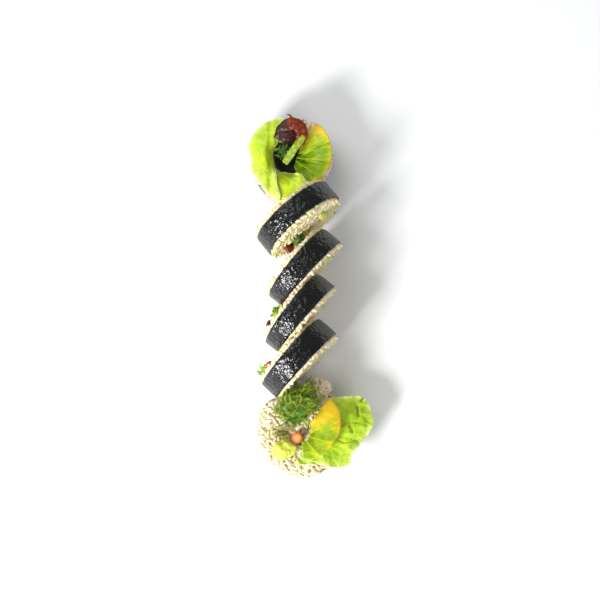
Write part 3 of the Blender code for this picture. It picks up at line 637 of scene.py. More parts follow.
class Pantry:
    """Every finish of the roll, each made once."""

    def __init__(self) -> None:
        """Builds the materials."""
        self.nori = NoriFinish().make()
        self.rice = RiceFinish().make()
        self.leaf = LeafFinish("leaf_petal").make()
        self.lettuce = LeafFinish(
            "lettuce_leaf", middle=colour(196, 224, 16), shadow=colour(140, 186, 6),
            pale=colour(226, 240, 70),
        ).make()
        self.fan_top = AvocadoFinish("avocado_fan").make()
        self.fan_bottom = AvocadoFinish(
            "avocado_slices", skin=colour(146, 184, 22), middle=colour(190, 208, 40),
            stone=colour(240, 216, 34), warm=colour(250, 208, 30),
        ).make()
        self.avocado = AvocadoFinish(
            "avocado_filling", skin=colour(140, 178, 48), middle=colour(196, 212, 92),
            stone=colour(232, 222, 130), warm=colour(240, 226, 140),
        ).make()
        self.red = RedFinish("marinated_red").make()
        self.orange = RedFinish(
            "marinated_orange", bright=colour(222, 124, 44), dark=colour(170, 70, 22)
        ).make()
        self.greens = PlantFinish(
            "dark_greens", dark=colour(34, 66, 16), light=colour(96, 140, 44), tip=colour(186, 204, 110)
        ).make()
        self.young = PlantFinish(
            "young_greens", dark=colour(104, 142, 30), light=colour(164, 196, 62),
            tip=colour(214, 226, 130),
        ).make()
        self.herb = PlantFinish(
            "feathery_herb", dark=colour(38, 88, 6), light=colour(122, 166, 22), tip=colour(196, 214, 70)
        ).make()
        self.tuft = PlantFinish(
            "olive_tuft", dark=colour(88, 92, 22), light=colour(156, 158, 56), tip=colour(206, 200, 104)
        ).make()
        self.stick = PlantFinish(
            "green_stick", dark=colour(122, 148, 22), light=colour(178, 196, 50),
            tip=colour(208, 216, 92), patch=2.2, depth=0.5,
        ).make()
        self.carrot = CarrotFinish().make()
        self.flesh = FleshFinish().make()


def new_piece(name: str, mesh: bpy.types.Mesh, material: bpy.types.Material) -> bpy.types.Object:
    """Makes an object at the origin from a mesh whose places are already final.

    Args:
        name: the piece's name.
        mesh: its mesh.
        material: its finish.

    Returns:
        The object.
    """
    mesh.name = name
    mesh.materials.clear()
    mesh.materials.append(material)
    mesh.shade_smooth()
    obj = bpy.data.objects.new(name, mesh)
    bpy.context.scene.collection.objects.link(obj)
    return obj


def settle_in(obj: bpy.types.Object, slot: Slot, *nodes: str) -> bpy.types.Object:
    """Puts a finished piece on the root body, hides the solids that it stands for and logs its triangles.

    Args:
        obj: the finished piece.
        slot: the record's material slot; not used.
        nodes: the solids that it replaces.

    Returns:
        The piece.
    """
    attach(obj, "root")
    if nodes:
        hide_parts(*nodes)
    obj.data.calc_loop_triangles()
    log.info("%s: %d triangles", obj.name, len(obj.data.loop_triangles))
    return obj


def serve(
    name: str, mesh: bpy.types.Mesh, material: bpy.types.Material, slot: Slot, *nodes: str
) -> bpy.types.Object:
    """Makes a finished piece of a mesh and hides the solids that it stands for.

    Args:
        name: the piece's name.
        mesh: its mesh.
        material: its finish.
        slot: the record's material slot, passed on to settle_in, which does not use it.
        nodes: the solids that it replaces.

    Returns:
        The piece.
    """
    return settle_in(new_piece(name, mesh, material), slot, *nodes)


def mesh_of(bm: bmesh.types.BMesh, name: str) -> bpy.types.Mesh:
    """Turns a bmesh into a mesh with its faces pointing out.

    Args:
        bm: the bmesh, freed here.
        name: the mesh's name.

    Returns:
        The mesh.
    """
    bmesh.ops.recalc_face_normals(bm, faces=bm.faces)
    mesh = bpy.data.meshes.new(name)
    bm.to_mesh(mesh)
    bm.free()
    return mesh


def put(mesh: bpy.types.Mesh, name: str, values: Sequence[float]) -> None:
    """Stores one number for each point of a mesh."""
    attribute = mesh.attributes.get(name) or mesh.attributes.new(name, "FLOAT", "POINT")
    attribute.data.foreach_set("value", list(values))


def paint(mesh: bpy.types.Mesh, name: str, rule: Callable[[Vector], float]) -> None:
    """Stores a number for each point of a mesh, by a rule on its place in millimetres."""
    put(mesh, name, [rule(vertex.co / MM) for vertex in mesh.vertices])


def put_vectors(mesh: bpy.types.Mesh, name: str, values: Sequence[Vector]) -> None:
    """Stores one vector for each point of a mesh."""
    attribute = mesh.attributes.get(name) or mesh.attributes.new(name, "FLOAT_VECTOR", "POINT")
    attribute.data.foreach_set("vector", [number for value in values for number in value])


def ring_solid(profiles: Sequence[Sequence[Vector]]) -> bmesh.types.BMesh:
    """A closed band: equal closed profiles set round a ring.

    Args:
        profiles: the points of each profile, in order round the ring.

    Returns:
        The band.
    """
    bm = bmesh.new()
    rows = [[bm.verts.new(point) for point in profile] for profile in profiles]
    count = len(rows[0])
    for first, second in zip(rows, rows[1:] + rows[:1]):
        for i in range(count):
            j = (i + 1) % count
            bm.faces.new((first[i], first[j], second[j], second[i]))
    return bm


def loft(rings: Sequence[Sequence[Vector]]) -> bmesh.types.BMesh:
    """A closed solid through rings of as many points, each end closed to its own middle.

    Args:
        rings: the rings, in order.

    Returns:
        The solid.
    """
    bm = bmesh.new()
    rows = [[bm.verts.new(point) for point in ring] for ring in rings]
    count = len(rows[0])
    for first, second in zip(rows, rows[1:]):
        for i in range(count):
            j = (i + 1) % count
            bm.faces.new((first[i], first[j], second[j], second[i]))
    for row, ring in ((rows[0], rings[0]), (rows[-1], rings[-1])):
        middle = bm.verts.new(sum(ring, Vector()) / count)
        for i in range(count):
            bm.faces.new((row[i], row[(i + 1) % count], middle))
    return bm


@dataclass
class Scatter:
    """Many copies of one small thing over a surface, by Geometry Nodes.

    The surface may carry a number called exposed, 0 where nothing may lie.
    """

    item: bpy.types.Object
    material: bpy.types.Material
    spacing: float
    smallest: float = 0.85
    largest: float = 1.1
    tilt: float = 18
    spin: float = 180
    heading: tuple[float, float, float] = (1, 0, 0)
    lowest: float = 0.0
    highest: float = 0.3
    seed: int = 1
    keep_ground: bool = True

    def tree(self) -> tuple[bpy.types.NodeTree, dict[str, str]]:
        """Builds the node tree.

        Returns:
            The tree, and the identifier of each of its inputs by name.
        """
        tree = bpy.data.node_groups.new(f"scatter_{self.item.name}", "GeometryNodeTree")
        nodes = Nodes(tree)
        kinds = {
            "Surface": "Geometry", "Item": "Object", "Material": "Material", "Spacing": "Float",
            "Smallest": "Float", "Largest": "Float", "Twist": "Vector", "Heading": "Vector",
            "Lowest": "Vector", "Highest": "Vector", "Seed": "Int", "Ground": "Bool",
        }
        darkest, most_points = 0.15, 2e6
        identifiers = {}
        for name, kind in kinds.items():
            socket = tree.interface.new_socket(name, in_out="INPUT", socket_type=f"NodeSocket{kind}")
            identifiers[name] = socket.identifier
        tree.interface.new_socket("Result", in_out="OUTPUT", socket_type="NodeSocketGeometry")
        surface = nodes.add("NodeGroupInput", out="Surface")
        given = {name: nodes.other(surface, name) for name in kinds}

        exposed = nodes.add(
            "GeometryNodeInputNamedAttribute", {"data_type": "FLOAT"}, {"Name": "exposed"}, "Attribute"
        )
        points = nodes.add(
            "GeometryNodeDistributePointsOnFaces", {"distribute_method": "POISSON"},
            {
                "Mesh": surface, "Distance Min": given["Spacing"], "Density Max": most_points,
                "Density Factor": exposed, "Seed": given["Seed"],
            },
            "Points",
        )
        upright = nodes.other(points, "Rotation")
        headed = nodes.add(
            "FunctionNodeAlignRotationToVector", {"axis": "X", "pivot_axis": "Z"},
            {"Rotation": upright, "Factor": 1.0, "Vector": given["Heading"]},
        )
        back = nodes.add(
            "ShaderNodeVectorMath", {"operation": "SCALE"}, {0: given["Twist"], "Scale": -1.0}
        )
        twist = nodes.add(
            "FunctionNodeRandomValue", {"data_type": "FLOAT_VECTOR"},
            {"Min": back, "Max": given["Twist"], "Seed": given["Seed"]}, "Value",
        )
        turned = nodes.add(
            "FunctionNodeRotateRotation", {"rotation_space": "LOCAL"},
            {"Rotation": headed, "Rotate By": twist},
        )
        size = nodes.add(
            "FunctionNodeRandomValue", {"data_type": "FLOAT"},
            {"Min": given["Smallest"], "Max": given["Largest"], "Seed": given["Seed"] + 1}, "Value",
        )
        item = nodes.add("GeometryNodeObjectInfo", values={"Object": given["Item"]}, out="Geometry")
        placed = nodes.add(
            "GeometryNodeInstanceOnPoints",
            values={"Points": points, "Instance": item, "Rotation": turned, "Scale": size},
        )
        lift = nodes.add(
            "FunctionNodeRandomValue", {"data_type": "FLOAT_VECTOR"},
            {"Min": given["Lowest"], "Max": given["Highest"], "Seed": given["Seed"] + 2}, "Value",
        )
        lifted = nodes.add(
            "GeometryNodeTranslateInstances",
            values={"Instances": placed, "Translation": lift, "Local Space": True},
        )
        shade = nodes.add(
            "FunctionNodeRandomValue", {"data_type": "FLOAT"},
            {"Min": darkest, "Max": 1.0, "Seed": given["Seed"] + 3}, "Value",
        )
        shaded = nodes.add(
            "GeometryNodeStoreNamedAttribute", {"data_type": "FLOAT", "domain": "INSTANCE"},
            {"Geometry": lifted, "Name": "shade", "Value": shade},
        )
        real = nodes.add("GeometryNodeRealizeInstances", values={"Geometry": shaded})
        ground = nodes.add(
            "GeometryNodeSwitch", {"input_type": "GEOMETRY"}, {"Switch": given["Ground"], "True": surface}
        )
        joined = nodes.add("GeometryNodeJoinGeometry", values={"Geometry": real})
        tree.links.new(ground.socket, joined.socket.node.inputs["Geometry"])
        smooth = nodes.add("GeometryNodeSetShadeSmooth", values={"Geometry": joined})
        dressed = nodes.add(
            "GeometryNodeSetMaterial", values={"Geometry": smooth, "Material": given["Material"]}
        )
        end = tree.nodes.new("NodeGroupOutput")
        tree.links.new(dressed.socket, end.inputs["Result"])
        return tree, identifiers

    def over(self, ground: bpy.types.Object, name: str) -> bpy.types.Object:
        """Scatters the copies and makes the result a plain mesh.

        Args:
            ground: the surface's object, which is removed.
            name: the new piece's name.

        Returns:
            The new piece.
        """
        tree, inputs = self.tree()
        twist = (math.radians(self.tilt), math.radians(self.tilt), math.radians(self.spin))
        modifier = ground.modifiers.new("scatter", "NODES")
        modifier.node_group = tree
        values = {
            "Item": self.item, "Material": self.material, "Spacing": self.spacing * MM,
            "Smallest": self.smallest, "Largest": self.largest, "Twist": twist, "Heading": self.heading,
            "Lowest": (0.0, 0.0, self.lowest * MM), "Highest": (0.0, 0.0, self.highest * MM),
            "Seed": self.seed, "Ground": self.keep_ground,
        }
        for key, value in values.items():
            modifier[inputs[key]] = value
        ground.update_tag()
        bpy.context.view_layer.update()
        graph = bpy.context.evaluated_depsgraph_get()
        mesh = bpy.data.meshes.new_from_object(ground.evaluated_get(graph))
        ground.modifiers.remove(modifier)
        bpy.data.objects.remove(ground, do_unlink=True)
        return new_piece(name, mesh, self.material)


@dataclass
class Morsel:
    """Small things that are scattered: each method builds one of a kind, lying along X and up along Z."""

    kept: list[bpy.types.Object] = field(default_factory=list)

    def keep(self, bm: bmesh.types.BMesh, name: str) -> bpy.types.Object:
        """Makes an object of a small mesh, out of the scene, for the scatter trees to copy.

        Args:
            bm: the small mesh, freed here.
            name: the object's name.

        Returns:
            The object.
        """
        mesh = mesh_of(bm, name)
        mesh.shade_smooth()
        obj = bpy.data.objects.new(name, mesh)
        self.kept.append(obj)
        return obj

    def grain(
        self, length: float = 5.3, width: float = 2.3, thickness: float = 2.0, bend: float = 0.35,
        sides: int = 8,
    ) -> bpy.types.Object:
        """A cooked grain of rice, a little bent and blunt.

        Args:
            length: from tip to tip, in millimetres.
            width: its widest place.
            thickness: its height where it lies.
            bend: how far its tips droop sideways.
            sides: the sides of its section.

        Returns:
            The grain's object.
        """
        stations = (-0.5, -0.44, -0.27, 0.0, 0.27, 0.44, 0.5)
        swell = (0.10, 0.58, 0.93, 1.0, 0.90, 0.55, 0.12)
        rings = []
        for place, share in zip(stations, swell):
            ring = []
            for k in range(sides):
                angle = math.tau * k / sides
                side = width / 2 * share * math.cos(angle) - bend * (2 * place) ** 2
                up = thickness / 2 * share * math.sin(angle)
                ring.append(Vector((length * place, side, up)) * MM)
            rings.append(ring)
        return self.keep(loft(rings), "rice_grain")

    def strand(
        self, name: str, length: float, width: float, rise: float, sides: int = 4, parts: int = 5
    ) -> bpy.types.Object:
        """A thin tapering strand that starts at the origin and curves up.

        Args:
            name: its name.
            length: along X, in millimetres.
            width: its widest place.
            rise: how far the tip rises.
            sides: the sides of its section.
            parts: its lengths.

        Returns:
            The strand's object.
        """
        rings = []
        for i in range(parts + 1):
            share = i / parts
            reach = width / 2 * (1 - 0.85 * share)
            middle = Vector((length * share, 0, rise * share * share))
            ring = []
            for k in range(sides):
                angle = math.tau * k / sides
                ring.append((middle + Vector((0, reach * math.cos(angle), reach * math.sin(angle)))) * MM)
            rings.append(ring)
        return self.keep(loft(rings), name)

    def leaflet(
        self, name: str, length: float, width: float, curl: float, lobes: int, thickness: float = 0.3,
        rows: int = 9, columns: int = 5,
    ) -> bpy.types.Object:
        """A small curled leaf with a lobed edge.

        Args:
            name: its name.
            length: along X, in millimetres.
            width: its widest place.
            curl: how far its tip and sides rise.
            lobes: the lobes of each edge.
            thickness: how thick the leaf is.
            rows: its points along.
            columns: its points across.

        Returns:
            The leaf's object.
        """
        bm = bmesh.new()
        layers = []
        for side in (0.5, -0.5):
            layer = []
            for r in range(rows):
                along = r / (rows - 1)
                lobe = 1 + 0.32 * math.sin(lobes * math.tau * along)
                half = width / 2 * (math.sin(math.pi * min(along * 0.94 + 0.06, 1)) ** 0.7 * lobe + 0.05)
                line = []
                for c in range(columns):
                    across = 2 * c / (columns - 1) - 1
                    cup = curl * along * along + 0.35 * curl * across * across
                    up = cup + 0.12 * math.sin(9 * along + 4 * across) + side * thickness
                    line.append(bm.verts.new(Vector((length * along, half * across, up)) * MM))
                layer.append(line)
            layers.append(layer)
        for layer in layers:
            for r in range(rows - 1):
                for c in range(columns - 1):
                    bm.faces.new((layer[r][c], layer[r][c + 1], layer[r + 1][c + 1], layer[r + 1][c]))
        border = [(0, c) for c in range(columns)]
        border += [(r, columns - 1) for r in range(1, rows)]
        border += [(rows - 1, c) for c in range(columns - 2, -1, -1)]
        border += [(r, 0) for r in range(rows - 2, 0, -1)]
        for (r, c), (s, d) in zip(border, border[1:] + border[:1]):
            bm.faces.new((layers[0][r][c], layers[0][s][d], layers[1][s][d], layers[1][r][c]))
        return self.keep(bm, name)

    def frond(
        self, length: float = 11.0, pairs: int = 8, needle: float = 4.2, rise: float = 3.0
    ) -> bpy.types.Object:
        """A feathery sprig: a stem with pairs of fine needles, each with side needles.

        Args:
            length: the stem's length along X, in millimetres.
            pairs: how many pairs of needles it has.
            needle: the longest needle.
            rise: how far the tip rises.

        Returns:
            The sprig's object.
        """
        chance = random.Random(17)
        fork_turn, fork_share = math.radians(32), 0.42
        bm = bmesh.new()
        tips: list[float] = []

        def spike(start: Vector, end: Vector, width: float, tip: float) -> None:
            """Adds one needle with three sides.

            Args:
                start: its foot, in millimetres.
                end: its point.
                width: its width.
                tip: how far out on the sprig it is, from 0 to 1.
            """
            along = (end - start).normalized()
            side = along.cross(UP).normalized() * width / 2
            lift = side.cross(along).normalized() * width / 2
            middle = start.lerp(end, 0.55) + Vector((0, 0, 0.12 * (end - start).length))
            rows = []
            for centre, share in ((start, 0.7), (middle, 1.0)):
                rows.append([bm.verts.new((centre + offset * share) * MM) for offset in (side, lift, -side)])
            last = bm.verts.new(end * MM)
            tips.extend([tip * 0.3] * 3 + [tip * 0.7] * 3 + [tip])
            for i in range(3):
                j = (i + 1) % 3
                bm.faces.new((rows[0][i], rows[0][j], rows[1][j], rows[1][i]))
                bm.faces.new((rows[1][i], rows[1][j], last))
            bm.faces.new((rows[0][2], rows[0][1], rows[0][0]))

        def stem(share: float) -> Vector:
            """A place on the stem."""
            return Vector((length * share, 0.5 * math.sin(3 * share), rise * share**1.6))

        for i in range(4):
            spike(stem(i / 4), stem((i + 1) / 4), 0.6 - 0.1 * i, 0.1)
        for i in range(pairs):
            share = 0.14 + 0.86 * i / pairs
            reach = needle * math.sin(math.pi * (0.2 + 0.72 * share)) * chance.uniform(0.85, 1.15)
            for side in (-1, 1):
                angle = math.radians(chance.uniform(38, 58)) * side
                start = stem(share)
                way = Vector((math.cos(angle), math.sin(angle), chance.uniform(0.0, 0.45)))
                end = start + way * reach
                spike(start, end, 0.34, 0.6)
                for part in (0.35, 0.65):
                    for fork in (-1, 1):
                        split = Matrix.Rotation(fork_turn * fork, 3, "Z") @ way
                        base = start.lerp(end, part)
                        spike(base, base + split * reach * fork_share, 0.26, 1.0)
        obj = self.keep(bm, "herb_frond")
        put(obj.data, "tip", tips)
        return obj

    def clear(self) -> None:
        """Removes the models once all their copies are real."""
        for obj in self.kept:
            bpy.data.objects.remove(obj, do_unlink=True)
        self.kept.clear()


@dataclass
class SoftCopy:
    """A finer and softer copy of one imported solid, with relief of its own.

    splits and rounds are levels of plain and of smooth subdivision. relief, size, shrink and rim are in
    millimetres: how high the relief is, how far apart its bumps are, how far the copy draws in, and how wide
    its rim is. join is the angle in degrees up to which two triangles become one face again.
    """

    node: str
    splits: int = 1
    rounds: int = 2
    relief: float = 0.25
    size: float = 4.0
    way: Relief = Relief.ALONG_NORMAL
    seed: float = 1.0
    shrink: float = 0.0
    join: float = 40.0
    rim: float = 0.7

    def mesh(self) -> bpy.types.Mesh:
        """Builds the copy.

        Returns:
            A mesh that carries how close each point is to the rim, as edge.
        """
        bm = bmesh.new()
        bm.from_mesh(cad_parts[self.node].data)
        bmesh.ops.remove_doubles(bm, verts=bm.verts, dist=0.01 * MM)
        bmesh.ops.join_triangles(
            bm, faces=bm.faces, angle_face_threshold=math.radians(self.join),
            angle_shape_threshold=math.radians(60),
        )
        mesh = bpy.data.meshes.new(self.node)
        bm.to_mesh(mesh)
        bm.free()
        obj = bpy.data.objects.new(self.node, mesh)
        bpy.context.scene.collection.objects.link(obj)
        for kind, levels in (("SIMPLE", self.splits), ("CATMULL_CLARK", self.rounds)):
            if levels:
                modifier = obj.modifiers.new(kind, "SUBSURF")
                modifier.subdivision_type = kind
                modifier.levels = modifier.render_levels = levels
        graph = bpy.context.evaluated_depsgraph_get()
        fine = bpy.data.meshes.new_from_object(obj.evaluated_get(graph))
        bpy.data.objects.remove(obj, do_unlink=True)
        for attribute in [a.name for a in fine.attributes if a.name in ("exposed", "edge")]:
            fine.attributes.remove(fine.attributes[attribute])
        self.shape(fine)
        return fine

    def shape(self, mesh: bpy.types.Mesh) -> None:
        """Adds the relief, and stores how close each point is to the rim.

        Args:
            mesh: the finer copy's mesh.
        """
        normals = [vertex.normal.copy() for vertex in mesh.vertices]
        rim = [vertex.co.copy() for vertex, normal in zip(mesh.vertices, normals) if abs(normal.z) < 0.4]
        tree = KDTree(max(len(rim), 1))
        for i, point in enumerate(rim):
            tree.insert(point, i)
        tree.balance()
        edges = []
        for vertex, normal in zip(mesh.vertices, normals):
            place = vertex.co.copy()
            distance = tree.find(place)[2] if rim else 1.0
            edges.append(math.exp(-distance / (self.rim * MM)))
            flat = Vector((place.x, place.y, 0)) if self.way is Relief.STRAIGHT_UP else place
            height = ripple(flat, self.size, self.seed)
            height += 0.45 * ripple(flat, self.size * 0.42, self.seed + 3)
            way = UP if self.way is Relief.STRAIGHT_UP else normal
            vertex.co = place + way * height * self.relief * MM - normal * self.shrink * MM
        mesh.update()
        put(mesh, "edge", edges)


def lump(middle: Vector, half: Sequence[float], relief: float, seed: float) -> bpy.types.Mesh:
    """A small uneven ball.

    Args:
        middle: its place, in millimetres.
        half: half its size along X, Y and Z, in millimetres.
        relief: how uneven it is, in millimetres.
        seed: shifts the unevenness.

    Returns:
        Its mesh.
    """
    bm = bmesh.new()
    bmesh.ops.create_icosphere(bm, subdivisions=4, radius=1.0)
    for vertex in bm.verts:
        way = vertex.co.normalized()
        spot = Vector((way.x * half[0], way.y * half[1], way.z * half[2]))
        rough = relief * (ripple(spot * MM, 3.0, seed) + 0.5 * ripple(spot * MM, 1.3, seed + 2))
        vertex.co = (middle + spot + way * rough) * MM
    return mesh_of(bm, "lump")


def tube(path: Sequence[Vector], widths: Sequence[float], sides: int = 8) -> bmesh.types.BMesh:
    """A thin round strand along a path.

    Args:
        path: its middle line, in millimetres.
        widths: its radius at each of those places.
        sides: the sides of its section.

    Returns:
        The strand.
    """
    rings = []
    for i, (spot, width) in enumerate(zip(path, widths)):
        along = (path[min(i + 1, len(path) - 1)] - path[max(i - 1, 0)]).normalized()
        side = along.cross(UP).normalized()
        lift = side.cross(along).normalized()
        ring = []
        for k in range(sides):
            angle = math.tau * k / sides
            ring.append((spot + (side * math.cos(angle) + lift * math.sin(angle)) * width) * MM)
        rings.append(ring)
    return loft(rings)


def expose(mesh: bpy.types.Mesh, rule: Callable[[Vector, Vector], float]) -> None:
    """Stores how freely small things may lie at each point.

    Args:
        mesh: the surface.
        rule: gives a share from 0 to 1 for a place and its normal.
    """
    put(mesh, "exposed", [rule(vertex.co, vertex.normal) for vertex in mesh.vertices])


@dataclass
class Slice:
    """One slice standing on its seaweed edge: where it stands, how it is turned and how thick it was cut.

    place, radius, thickness, dome and wedge are in millimetres, turn and lean in degrees. dome says how far
    its far and its near face bulge, and wedge how much thicker the slice is at its top and at its right end.
    The last four, in millimetres too, are of the band: how far its far edge is drawn in, how far its near
    edge stands out, how far both edges turn in, and how uneven they are.
    """

    name: str
    place: tuple[float, float]
    turn: float
    lean: float
    radius: float
    thickness: float
    dome: tuple[float, float]
    wedge: tuple[float, float]
    seed: int
    shift: Vector
    inset: float = 0.35
    outset: float = 0.3
    lip: float = 0.35
    fray: float = 0.3

    def slope(self, y: float, z: float) -> float:
        """How far the near face is moved out at a place on it, in millimetres."""
        return (self.wedge[0] * z + self.wedge[1] * y) / self.radius

    def frame(self) -> Matrix:
        """The slice's own frame: X along the roll towards its near end, Y across it, Z up.

        Returns:
            The matrix from that frame to the row's, in metres.
        """
        lean = math.radians(self.lean)
        half_band = self.thickness / 2 - RICE_PROUD
        height = self.radius * math.cos(lean) + half_band * math.sin(lean) - SINK
        place = Vector((self.place[0], self.place[1], height)) * MM + self.shift
        turn = Euler((0, -lean, math.radians(self.turn) - math.pi / 2))
        return Matrix.Translation(place) @ turn.to_matrix().to_4x4()

    def nori(self, pantry: Pantry, steps: int = 150, across: int = 15) -> bpy.types.Object:
        """The seaweed band, crinkled, its end lapped over its start.

        Args:
            pantry: the finishes.
            steps: its points round the roll.
            across: its points from edge to edge.

        Returns:
            The band.
        """
        place = self.frame()
        lap_start = math.radians(-70 + 13 * self.seed)
        outset = 0.0 if self.seed == OPEN_SLICE else self.outset
        half = self.thickness / 2 - RICE_PROUD
        profiles = []
        for k in range(steps):
            angle = math.tau * k / steps
            past = (angle - lap_start) % math.tau
            lap = 0.0
            if past < math.radians(NORI_LAP_ANGLE):
                lap = NORI_LAP_STEP * (1 - smooth_step(0.6, 1, past / math.radians(NORI_LAP_ANGLE)))
            turn = around(angle, 1.0, self.seed * 3.0) * self.radius * MM
            far = -half + self.inset + self.fray * ripple(turn, 4.0, 1)
            tilt = self.slope(self.radius * math.cos(angle), self.radius * math.sin(angle))
            near = half + outset + self.fray * ripple(turn, 4.0, 2) + tilt
            profile = []
            for i in range(across):
                x = far + (near - far) * i / (across - 1)
                spot = round_roll(x, self.radius, angle) * MM + UP * self.seed
                dent = sum(deep * abs(ripple(spot, size, n)) for n, (deep, size) in enumerate(CRINKLES, 3))
                lip = self.lip * (abs(2 * i / (across - 1) - 1) ** 6)
                reach = self.radius * uneven(angle, self.seed) + lap - dent * CRINKLE_DEPTH - lip
                profile.append(place @ (round_roll(x, reach, angle) * MM))
            for share in (1.0, 0.5, 0.0):
                x = far + (near - far) * share
                reach = self.radius * uneven(angle, self.seed) - NORI_THICKNESS
                profile.append(place @ (round_roll(x, reach, angle) * MM))
            profiles.append([settled(point) for point in profile])
        mesh = mesh_of(ring_solid(profiles), f"{self.name}_seaweed")
        return serve(f"{self.name}_seaweed", mesh, pantry.nori, Slot.NORI, f"{self.name}_nori")

    def core(self, steps: int = 84, rows: int = 12, sunk: float = 0.85) -> bpy.types.Mesh:
        """The pressed rice that the grains lie on, a little below the solid's faces.

        Args:
            steps: its points round the roll.
            rows: its rings on each cut face.
            sunk: how far below the solid's faces it lies, in millimetres.

        Returns:
            Its mesh.
        """
        half = self.thickness / 2
        place = self.frame()
        rings = []
        for side in (-1, 1):
            dome = self.dome[0] if side < 0 else self.dome[1]
            rows_here = []
            for r in range(rows):
                share = 0.995 - 0.97 * r / (rows - 1)
                ring = []
                for k in range(steps):
                    angle = math.tau * k / steps
                    swell = dome * (1 - share**2) * (1 - 0.35 * math.cos(angle - 0.3))
                    reach = (self.radius * uneven(angle, self.seed) - NORI_THICKNESS - FIT) * share
                    spot = round_roll(side * 40, reach, angle) * MM
                    bump = 0.35 * ripple(spot, 2.4, self.seed) - 0.3 * smooth_step(0.96, 1.0, share)
                    depth = sunk * (1 - 0.85 * smooth_step(0.8, 0.93, share))
                    x = side * (half + swell - depth + bump)
                    if side > 0:
                        x += self.slope(reach * math.cos(angle), reach * math.sin(angle))
                    ring.append(settled(place @ (round_roll(x, reach, angle) * MM)))
                rows_here.append(ring)
            rings += reversed(rows_here) if side > 0 else rows_here
            if side < 0:
                rings.reverse()
        return mesh_of(loft(rings), f"{self.name}_rice_core")

    def fillings(self) -> dict[str, tuple[float, float, float]]:
        """Each filling's middle on the cut face and how far round it no grain lies: across, up and reach.

        Returns:
            Those three in millimetres, by the filling's name.
        """
        found = {
            "red": (-15.0, 0.5, 4.4), "greens": (-8.2, 5.2, 4.4), "carrot": (-7.0, -5.6, 3.6),
            "stick": (-0.6, -1.4, 3.0), "avocado": (12.0, 0.0, 4.0),
        }
        if self.seed == OUTER_SLICE:
            found["red"], found["greens"] = (-13.8, 2.2, 4.4), (-18.4, -5.0, 3.4)
        return found

    def free(self, point: Vector) -> float:
        """1 where rice shows on a cut face, 0 over a filling or on the side.

        Args:
            point: a place in the row's frame, in metres.

        Returns:
            That share.
        """
        local = (self.frame().inverted() @ point) / MM
        if abs(local.x) < self.thickness / 2 - RICE_PROUD - 0.6:
            return 0.0
        for y, z, reach in self.fillings().values():
            if math.hypot(local.y - y, local.z - z) < reach:
                return 0.0
        arc = math.hypot(local.y - AVOCADO_ACROSS, local.z)
        spread = math.atan2(local.z, local.y - AVOCADO_ACROSS)
        if abs(arc - AVOCADO_ARC) < AVOCADO_DEPTH and abs(spread) < math.radians(AVOCADO_SPREAD):
            return 0.0
        return 1.0

    def rice(self, pantry: Pantry, morsels: dict[str, bpy.types.Object]) -> bpy.types.Object:
        """The rice: grains all over both cut faces of the core.

        Args:
            pantry: the finishes.
            morsels: the small things that are scattered.

        Returns:
            The rice.
        """
        place = self.frame()
        back = place.inverted()
        mesh = self.core()
        expose(mesh, lambda point, normal: self.free(point))
        # Less painted shade on the pressed rice near the rim, where it shows beside the seaweed.
        rim = []
        for vertex in mesh.vertices:
            local = (back @ vertex.co) / MM
            rim.append(0.75 * smooth_step(0.84, 0.95, math.hypot(local.y, local.z) / self.radius))
        put(mesh, "shade", rim)
        put(mesh, "stain", [0.75 if self.seed == OPEN_SLICE else 0.45] * len(rim))
        ground = new_piece(f"{self.name}_ground", mesh, pantry.rice)
        scatter = Scatter(
            morsels["grain"], pantry.rice, spacing=1.75, tilt=14, lowest=0.0, highest=0.5,
            seed=10 + self.seed,
        )
        piece = scatter.over(ground, f"{self.name}_rice_grains")
        for vertex in piece.data.vertices:
            local = (back @ vertex.co) / MM
            reach = math.hypot(local.y, local.z)
            most = self.radius * uneven(math.atan2(local.z, local.y), self.seed) - NORI_THICKNESS - 0.12
            if reach > most:
                local.y *= most / reach
                local.z *= most / reach
                vertex.co = place @ (local * MM)
            vertex.co.z = max(vertex.co.z, 0.05 * MM)
        return settle_in(piece, Slot.RICE, f"{self.name}_rice")

    def axis(self) -> Vector:
        """The direction of the roll's own axis."""
        return self.frame().to_3x3() @ Vector((1, 0, 0))

    def filling(self, name: str, pantry: Pantry, morsels: dict[str, bpy.types.Object]) -> bpy.types.Object:
        """One filling, cut through, with its own relief and colours.

        Args:
            name: which filling.
            pantry: the finishes.
            morsels: the small things that are scattered.

        Returns:
            The filling.
        """
        node = f"{self.name}_{name}"
        relief = {"red": 0.8, "greens": 1.3, "carrot": 0.12, "stick": 0.25, "avocado": 0.2}[name]
        mesh = SoftCopy(node, splits=1, rounds=1, relief=relief, size=2.6, seed=self.seed).mesh()
        back = self.frame().inverted()
        carrot_y, carrot_z, _ = self.fillings()["carrot"]
        ripe, fan, heart, shade = [], [], [], []
        for vertex in mesh.vertices:
            local = (back @ vertex.co) / MM
            arc = math.hypot(local.y - AVOCADO_ACROSS, local.z)
            spread = math.atan2(local.z, local.y - AVOCADO_ACROSS)
            ripe.append(1 - smooth_step(6.0, 12.4, arc))
            fan.append(Vector((arc / 12, spread * 0.2, local.x / 30)))
            heart.append(1 - smooth_step(0.6, 2.2, math.hypot(local.y - carrot_y, local.z - carrot_z)))
            shade.append(0.3 + 0.5 * ripple(vertex.co, 1.8, self.seed))
        put(mesh, "ripe", ripe)
        put_vectors(mesh, "fan", fan)
        put(mesh, "heart", heart)
        put(mesh, "shade", shade)
        material = getattr(pantry, name)
        if name == "red" and self.seed == OUTER_SLICE:
            material = pantry.orange
        piece = new_piece(f"{node}_filling", mesh, material)
        if name == "greens":
            expose(mesh, lambda point, normal: smooth_step(0.3, 0.6, abs(normal.dot(self.axis()))))
            material = pantry.young if self.seed > 2 else pantry.greens
